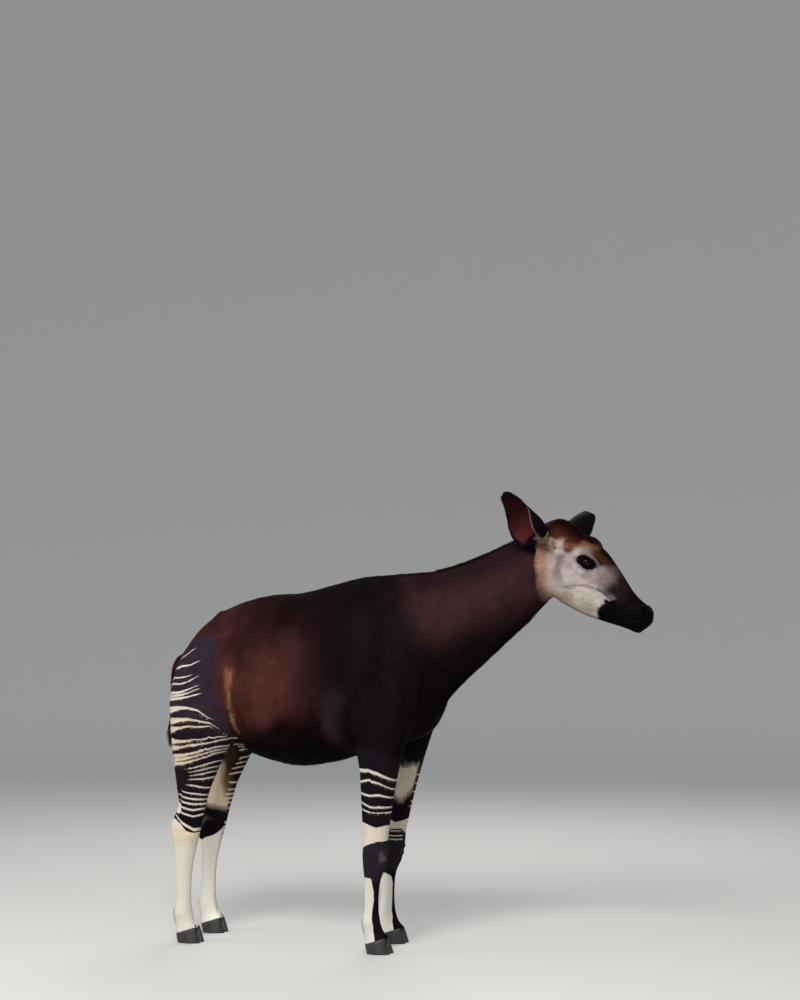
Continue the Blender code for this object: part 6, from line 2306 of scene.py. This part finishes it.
@dataclass
class Groomer:
    """Chooses how many tufts of each kind grow where, and makes the coat's pieces."""

    coat: Coat
    material: bpy.types.Material
    most: int = 19000

    def split(self, name: str, roots: Roots, kind: TuftKind, scale: Array, seed: int) -> list[bpy.types.Object]:
        """Several pieces of one kind, none too large."""
        faces = 6 * kind.rings - 2
        limit = 190000 // faces
        order = np.arange(len(roots.points))
        count = -(-len(order) // limit)
        made = []
        for k in range(count):
            mine = order[k::count]
            title = f"{name}_{k + 1}" if count > 1 else name
            made.append(self.coat.tufts(title, roots.picked(mine), kind, scale[mine], self.material, seed + k))
        return made

    def short(self) -> list[bpy.types.Object]:
        """The flat short coat on every side, smallest on the face and feet, none on bare skin."""
        skin = self.coat.skin
        head = skin.head

        def density(points: Array, normals: Array, labels: Array) -> Array:
            """More on neck, head and legs, none on muzzle, lips, lids, soles and inside the ears."""
            q = head.frame.local(points)
            weight = np.select(
                [labels == Region.TORSO, labels == Region.NECK, labels == Region.HEAD, labels >= Region.EAR_RIGHT],
                [1.0, 1.9, 5.0, 1.6],
                1.7,
            ).astype(float)
            weight *= (points[:, 2] > 0.060) | (labels < Region.FORE_RIGHT) | (labels > Region.HIND_LEFT)
            on_head = labels == Region.HEAD
            for eye in head.eyes.values():
                e = eye.local(q)
                weight *= ~(on_head & (np.hypot(e[:, 0] / 1.3, e[:, 1]) < 0.021) & (e[:, 2] > -0.02))
            lips = path_distance(q, head.lip_line())[0]
            weight *= ~(on_head & ((q[:, 0] > 0.43) | (lips < 0.012)))
            for side, ear in head.ears.items():
                inside = ear.place(points)[2]
                region = Region.EAR_RIGHT if side is Side.RIGHT else Region.EAR_LEFT
                weight *= ~((labels == region) & inside)
            return weight

        roots = self.coat.sample(78000, density, 1)
        q = head.frame.local(roots.points)
        scale = np.ones(len(roots.points))
        leg = (roots.labels >= Region.FORE_RIGHT) & (roots.labels <= Region.HIND_LEFT)
        scale = np.where(leg, 0.50 + 0.30 * ease(0.45, 0.80, roots.points[:, 2]), scale)
        on_head = roots.labels == Region.HEAD
        scale = np.where(on_head, 0.62 - 0.32 * ease(0.10, 0.38, q[:, 0]), scale)
        scale = np.where(roots.labels >= Region.EAR_RIGHT, 0.55, scale)
        kind = TuftKind(0.0140, 0.0021, 0.0003, 0.050, curl=0.6)
        return self.split("coat_short", roots, kind, scale, 10)

    def near_paths(self, paths: tuple, width: float, count: int, seed: int, aside: float = 0.0) -> Roots:
        """Roots within a width of some lines on both sides of the animal."""

        def density(points: Array, normals: Array, labels: Array) -> Array:
            """Bell round the nearest line."""
            mirrored = points * np.array([1.0, np.where(aside > 0, 1.0, 1.0), 1.0])
            mirrored[:, 1] = np.abs(points[:, 1])
            near = np.full(len(points), 1.0)
            for path in paths:
                near = np.minimum(near, path_distance(mirrored, path)[0])
            return bell(near, width) * (near < 2.2 * width)

        return self.coat.sample(count, density, seed)

    def long(self) -> list[bpy.types.Object]:
        """Longer hair where it breaks the form: mane line, throat, elbow, flank, haunch and pasterns."""
        crest = ((0.120, 0.0, 1.514), (0.180, 0.0, 1.530), (0.235, 0.0, 1.546), (0.360, 0.0, 1.596), (0.530, 0.0, 1.665))
        stance = self.coat.skin.stance
        fetlocks = tuple(
            ((x, y, 0.135), (x + 0.006, y, 0.095))
            for x, y in ((-0.160, stance.fore), (-0.984, stance.hind))
        )
        sets = (
            ("mane", (crest,), 0.011, 2600, TuftKind(0.016, 0.0018, 0.0005, 0.26, 0.1, 0.4, 3), 31),
            ("elbow_hair", (((-0.235, 0.205, 0.960), (-0.215, 0.185, 0.850)),), 0.024, 1100, TuftKind(0.026, 0.0026, 0.0008, 0.16, 0.15, 0.5, 3), 32),
            ("flank_hair", (((-0.700, 0.235, 1.020), (-0.660, 0.225, 0.860), (-0.600, 0.19, 0.77)),), 0.020, 1500, TuftKind(0.022, 0.0024, 0.0007, 0.12, 0.1, 0.5, 3), 33),
            ("breast_hair", (((0.150, 0.0, 0.960), (0.200, 0.0, 1.060), (0.300, 0.0, 1.150), (0.500, 0.0, 1.32)),), 0.024, 1700, TuftKind(0.022, 0.0023, 0.0007, 0.14, 0.15, 0.4, 3), 34),
            ("haunch_hair", (((-1.008, 0.135, 1.010), (-1.000, 0.140, 0.800), (-0.975, 0.140, 0.600)),), 0.026, 2000, TuftKind(0.017, 0.0021, 0.0006, 0.13, 0.1, 0.4, 3), 35),
            ("pastern_hair", fetlocks, 0.013, 1200, TuftKind(0.015, 0.0017, 0.0005, 0.22, 0.1, 0.3, 3), 36),
            ("belly_hair", (((-0.250, 0.02, 0.750), (-0.480, 0.03, 0.716), (-0.640, 0.04, 0.745)),), 0.060, 1500, TuftKind(0.020, 0.0023, 0.0007, 0.14, 0.05, 0.3, 3), 37),
        )
        made = []
        for name, paths, width, count, kind, seed in sets:
            roots = self.near_paths(paths, width, count, seed)
            if name == "mane":
                roots.lie = unit(roots.lie + np.array([0.0, 0.0, 0.2]))
            made += self.split(name, roots, kind, np.ones(count), seed)
        return made

    def face_hair(self) -> list[bpy.types.Object]:
        """Fringe at the back of the cheek and under the throat, crown hair and lashes."""
        skin = self.coat.skin
        head = skin.head
        lines = {
            "cheek_fringe": (((0.012, 0.072, -0.010), (0.032, 0.080, -0.060), (0.075, 0.074, -0.118), (0.125, 0.050, -0.165), (0.19, 0.02, -0.17)), 0.013, 2600, TuftKind(0.017, 0.0018, 0.0005, 0.11, 0.12, 0.5, 3)),
            "crown_hair": (((-0.010, 0.020, 0.128), (0.060, 0.036, 0.138), (0.130, 0.036, 0.136)), 0.026, 1700, TuftKind(0.013, 0.0017, 0.0005, 0.15, 0.05, 0.5, 3)),
            "ear_root_hair": (((-0.010, 0.070, 0.040), (0.012, 0.078, 0.024), (0.030, 0.080, 0.000)), 0.014, 900, TuftKind(0.024, 0.0018, 0.0006, 0.25, 0.2, 0.5, 3)),
        }
        made = []
        for k, (name, (line, width, count, kind)) in enumerate(lines.items()):

            def density(points: Array, normals: Array, labels: Array, line: tuple = line, width: float = width) -> Array:
                """Bell round the line, on both sides of the head."""
                q = head.frame.local(points)
                q[:, 1] = np.abs(q[:, 1])
                near = path_distance(q, line)[0]
                return bell(near, width) * (near < 2.2 * width) * (labels < Region.EAR_RIGHT)

            roots = self.coat.sample(count, density, 41 + k)
            made += self.split(name, roots, kind, np.ones(count), 41 + k)
        return made + [self.lashes()] + self.ear_fringe()

    def lashes(self) -> bpy.types.Object:
        """Long dark lashes along the upper lids, a few below."""
        rng = np.random.default_rng(self.coat.seed + 60)
        head = self.coat.skin.head
        points, normals, ways = [], [], []
        for eye in head.eyes.values():
            for upper, count in ((True, 90), (False, 30)):
                x = rng.uniform(-0.85, 0.95, count) * eye.half_long
                arch = eye.half_high * (1.0 if upper else -0.88)
                reach = np.where(x > 0, eye.half_long * 1.16, eye.half_long)
                y = arch * (1 - np.abs(x / reach) ** 2.2) + (0.0008 if upper else -0.0008)
                z = np.sqrt(np.clip((eye.radius + eye.lid) ** 2 - x**2 - y**2, 0, None)) - 0.0008
                p = np.stack([x, y, z], 1)
                lift = 0.45 if upper else -0.35
                way = unit(np.stack([x * 14.0, np.full(count, lift), np.full(count, 0.9)], 1))
                turn = head.frame.matrix() @ eye.axes()
                points.append(head.frame.world(p @ eye.axes().T + eye.centre()))
                ways.append(way @ turn.T)
                up = np.tile([0.0, 1.0 if upper else -1.0, 0.0], (count, 1)) @ turn.T
                normals.append(unit(up - ways[-1] * np.einsum("ij,ij->i", up, ways[-1])[:, None]))
        points, normals, ways = (np.concatenate(v) for v in (points, normals, ways))
        n = len(points)
        labels = np.full(n, int(Region.HEAD))
        roots = Roots(points, normals, ways, labels, np.tile([0.004, 0.003, 0.003], (n, 1)), self.coat.unwrap.roots(points, labels))
        kind = TuftKind(0.013, 0.0009, 0.0005, 0.05, 0.0, 3.0, 3, 0.003)
        return self.coat.tufts("lashes", roots, kind, np.ones(n), self.material, 60)

    def ear_fringe(self) -> list[bpy.types.Object]:
        """Hair along the rims of the ears and, long and pale, across the lower half of the cups."""
        made = []
        rng = np.random.default_rng(self.coat.seed + 70)
        for k, (side, ear) in enumerate(self.coat.skin.head.ears.items()):
            region = Region.EAR_RIGHT if side is Side.RIGHT else Region.EAR_LEFT
            n = 1500
            share = rng.uniform(0.06, 0.97, n)
            edge = rng.choice([-1.0, 1.0], n)
            swing = edge * rng.uniform(0.93, 0.995, n)
            radius, roll, rise = ear.roll(share, swing)
            r = radius - 0.0015 - rng.uniform(0, 0.0015, n)
            angle = roll * swing
            local = np.stack([share * ear.length(), r * np.sin(angle), rise - r * np.cos(angle)], 1)
            tangent = np.stack([np.zeros(n), np.cos(angle) * edge, np.sin(angle) * edge], 1)
            radial = np.stack([np.zeros(n), np.sin(angle), -np.cos(angle)], 1)
            out = rng.uniform(0.15, 0.55, n)[:, None]
            way = unit(tangent * out + np.array([1.0, 0.0, 0.0]) * (1.15 - out) - radial * 0.15)
            normal = unit(radial - way * np.einsum("ij,ij->i", radial, way)[:, None])
            turn = ear.matrix()
            points = local @ turn.T + np.array(ear.root)
            front = edge * side.value > 0
            dark = np.array(self.coat.markings.tones.ear_tip)
            pale = np.array(self.coat.markings.tones.ear_rim)
            light = np.where(front, ease(0.80, 0.45, share), 0.15 * ease(0.6, 0.3, share)) * rng.uniform(0.4, 1.0, n)
            colours = mixed(np.tile(dark, (n, 1)), pale, light)
            labels = np.full(n, int(region))
            roots = Roots(points, normal @ turn.T, way @ turn.T, labels, colours, self.coat.unwrap.roots(points, labels))
            scale = 0.55 + 0.5 * np.where(front, ease(0.35, 0.12, share), 0.0)
            kind = TuftKind(0.0095, 0.0013, 0.0005, 0.02, 0.0, 0.5, 3)
            made.append(self.coat.tufts(f"ear_fringe_{side.name.lower()}", roots, kind, scale, self.material, 70 + k))
        return made

    def tail(self) -> bpy.types.Object:
        """The tuft at the end of the tail: long tapered locks that hang and part a little."""
        rng = np.random.default_rng(self.coat.seed + 80)
        trunk = self.coat.skin.trunk
        n = 900
        low = 1.140 - trunk.tail_length
        z = low + rng.uniform(-0.004, 0.075, n)
        angle = rng.uniform(0, 2 * math.pi, n)
        r = 0.0115 + 0.002 * ease(low, low + 0.07, z)
        centre_x = trunk.rump_x - 0.017
        normal = np.stack([np.cos(angle), np.sin(angle), np.zeros(n)], 1)
        points = np.stack([centre_x + r * np.cos(angle), 1.1 * r * np.sin(angle), z], 1)
        way = unit(np.array([0.0, 0.0, -1.0]) + normal * rng.uniform(-0.02, 0.14, n)[:, None])
        normal = unit(normal - way * np.einsum("ij,ij->i", normal, way)[:, None])
        labels = np.full(n, int(Region.TORSO))
        dark = np.array([0.011, 0.006, 0.006]) * rng.uniform(0.6, 1.8, n)[:, None]
        roots = Roots(points, normal, way, labels, dark, self.coat.unwrap.roots(points, labels))
        kind = TuftKind(0.082, 0.0034, 0.0014, 0.06, 0.0, 1.6, 6)
        return self.coat.tufts("tail_tuft", roots, kind, rng.uniform(0.55, 1.15, n), self.material, 80)


@dataclass
class Studio:
    """Pale floor, soft light and the camera."""

    lens: float = 71.4
    location: tuple = (2.731, -7.534, 1.31)
    azimuth: float = math.radians(20.0)
    pitch: float = math.atan(120 / 1984)

    def floor(self, material: bpy.types.Material) -> bpy.types.Object:
        """A wide round floor that bends up like a dish far out: z = rise * ease(radius)."""
        radius = np.linspace(0.5, 24.0, 60)[:, None]
        angle = np.linspace(0.0, 2 * math.pi, 72, endpoint=False)[None, :]
        rings = [radius * np.cos(angle), radius * np.sin(angle), 13.0 * ease(10.5, 24.0, radius) + 0 * angle]
        points = np.concatenate([np.stack(rings, -1).reshape(-1, 3), [[0.0, 0.0, 0.0]]])
        i, j = np.meshgrid(np.arange(59), np.arange(72), indexing="ij")
        i, j = i.ravel(), j.ravel()
        k = (j + 1) % 72
        a, b = i * 72, (i + 1) * 72
        middle = np.stack([np.full(72, 60 * 72), np.arange(72), (np.arange(72) + 1) % 72], 1)
        faces = [np.stack([a + j, b + j, b + k], 1), np.stack([a + j, b + k, a + k], 1), middle]
        obj = Surface(points, np.concatenate(faces)).to_object("floor")
        obj.data.materials.append(material)
        return obj

    def light(self, name: str, place: tuple, aim: tuple, size: float, power: float, colour: tuple) -> None:
        """One square area light."""
        data = bpy.data.lights.new(name, "AREA")
        data.size, data.energy, data.color = size, power, colour
        lamp = bpy.data.objects.new(name, data)
        lamp.location = place
        lamp.rotation_euler = (Vector(aim) - Vector(place)).to_track_quat("-Z", "Y").to_euler()
        bpy.context.scene.collection.objects.link(lamp)

    def build(self) -> None:
        """Lights, world and camera."""
        world = bpy.data.worlds.new("studio")
        world.use_nodes = True
        world.node_tree.nodes["Background"].inputs["Color"].default_value = (0.92, 0.95, 1.0, 1.0)
        world.node_tree.nodes["Background"].inputs["Strength"].default_value = 0.60
        scene = bpy.context.scene
        scene.world = world
        scene.view_settings.view_transform = "Standard"
        aim = (0.0, 0.0, 0.95)
        self.light("key", (0.6, -5.2, 5.2), aim, 2.4, 520.0, (1.0, 0.97, 0.92))
        self.light("fill", (-5.0, -2.8, 1.8), aim, 3.0, 90.0, (0.90, 0.95, 1.0))
        self.light("back", (-1.0, 4.6, 4.6), aim, 2.6, 120.0, (1.0, 0.98, 0.95))
        data = bpy.data.cameras.new("camera")
        data.lens = self.lens
        camera = bpy.data.objects.new("camera", data)
        camera.location = self.location
        camera.rotation_euler = (math.pi / 2 + self.pitch, 0.0, self.azimuth)
        scene.collection.objects.link(camera)
        scene.camera = camera


def main() -> None:
    """Builds skin, eyes, hooves, coat and studio in order, and logs the skin and each piece of the coat."""
    logging.basicConfig(level=logging.INFO, format="%(message)s")
    stance = Stance()
    trunk = Trunk()
    legs = Legs(stance)
    head = Head(HeadFrame())
    skin = Skin(trunk, legs, head, stance)
    markings = Markings(stance, head)
    unwrap = Unwrap(stance, legs, head)
    skin.build()
    LOG.info("skin: %d points, %d triangles", len(skin.surface.points), len(skin.surface.faces))
    coat_finish, tuft_finish = CoatFinish().build(), TuftFinish().build()
    body = skin.dress(markings, unwrap, coat_finish)
    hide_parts("torso", "neck", "head", "tail", "foreleg_left", "foreleg_right", "hind_leg_left", "hind_leg_right", "ear_left", "ear_right")
    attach(body, "root")
    wet = EyeFinish().build()
    for side, eye in head.eyes.items():
        ball_piece = EyeBall(eye, head.frame).build(wet)
        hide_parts(f"eye_{side.name.lower()}")
        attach(ball_piece, "root")
    hooves = Hooves(stance, legs).build(HornFinish().build())
    names = [f"hoof_{end}_{side}_{toe}" for end in ("fore", "hind") for side in ("left", "right") for toe in ("inner", "outer")]
    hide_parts(*names)
    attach(hooves, "root")
    groomer = Groomer(Coat(skin, markings, unwrap), tuft_finish)
    tufts = groomer.short() + groomer.long() + groomer.face_hair() + [groomer.tail()]
    for piece in tufts:
        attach(piece, "root")
        LOG.info("%s: %d triangles", piece.name, len(piece.data.polygons))
    studio = Studio()
    floor = studio.floor(FloorFinish().build())
    studio.build()


if __name__ == "__main__":
    main()
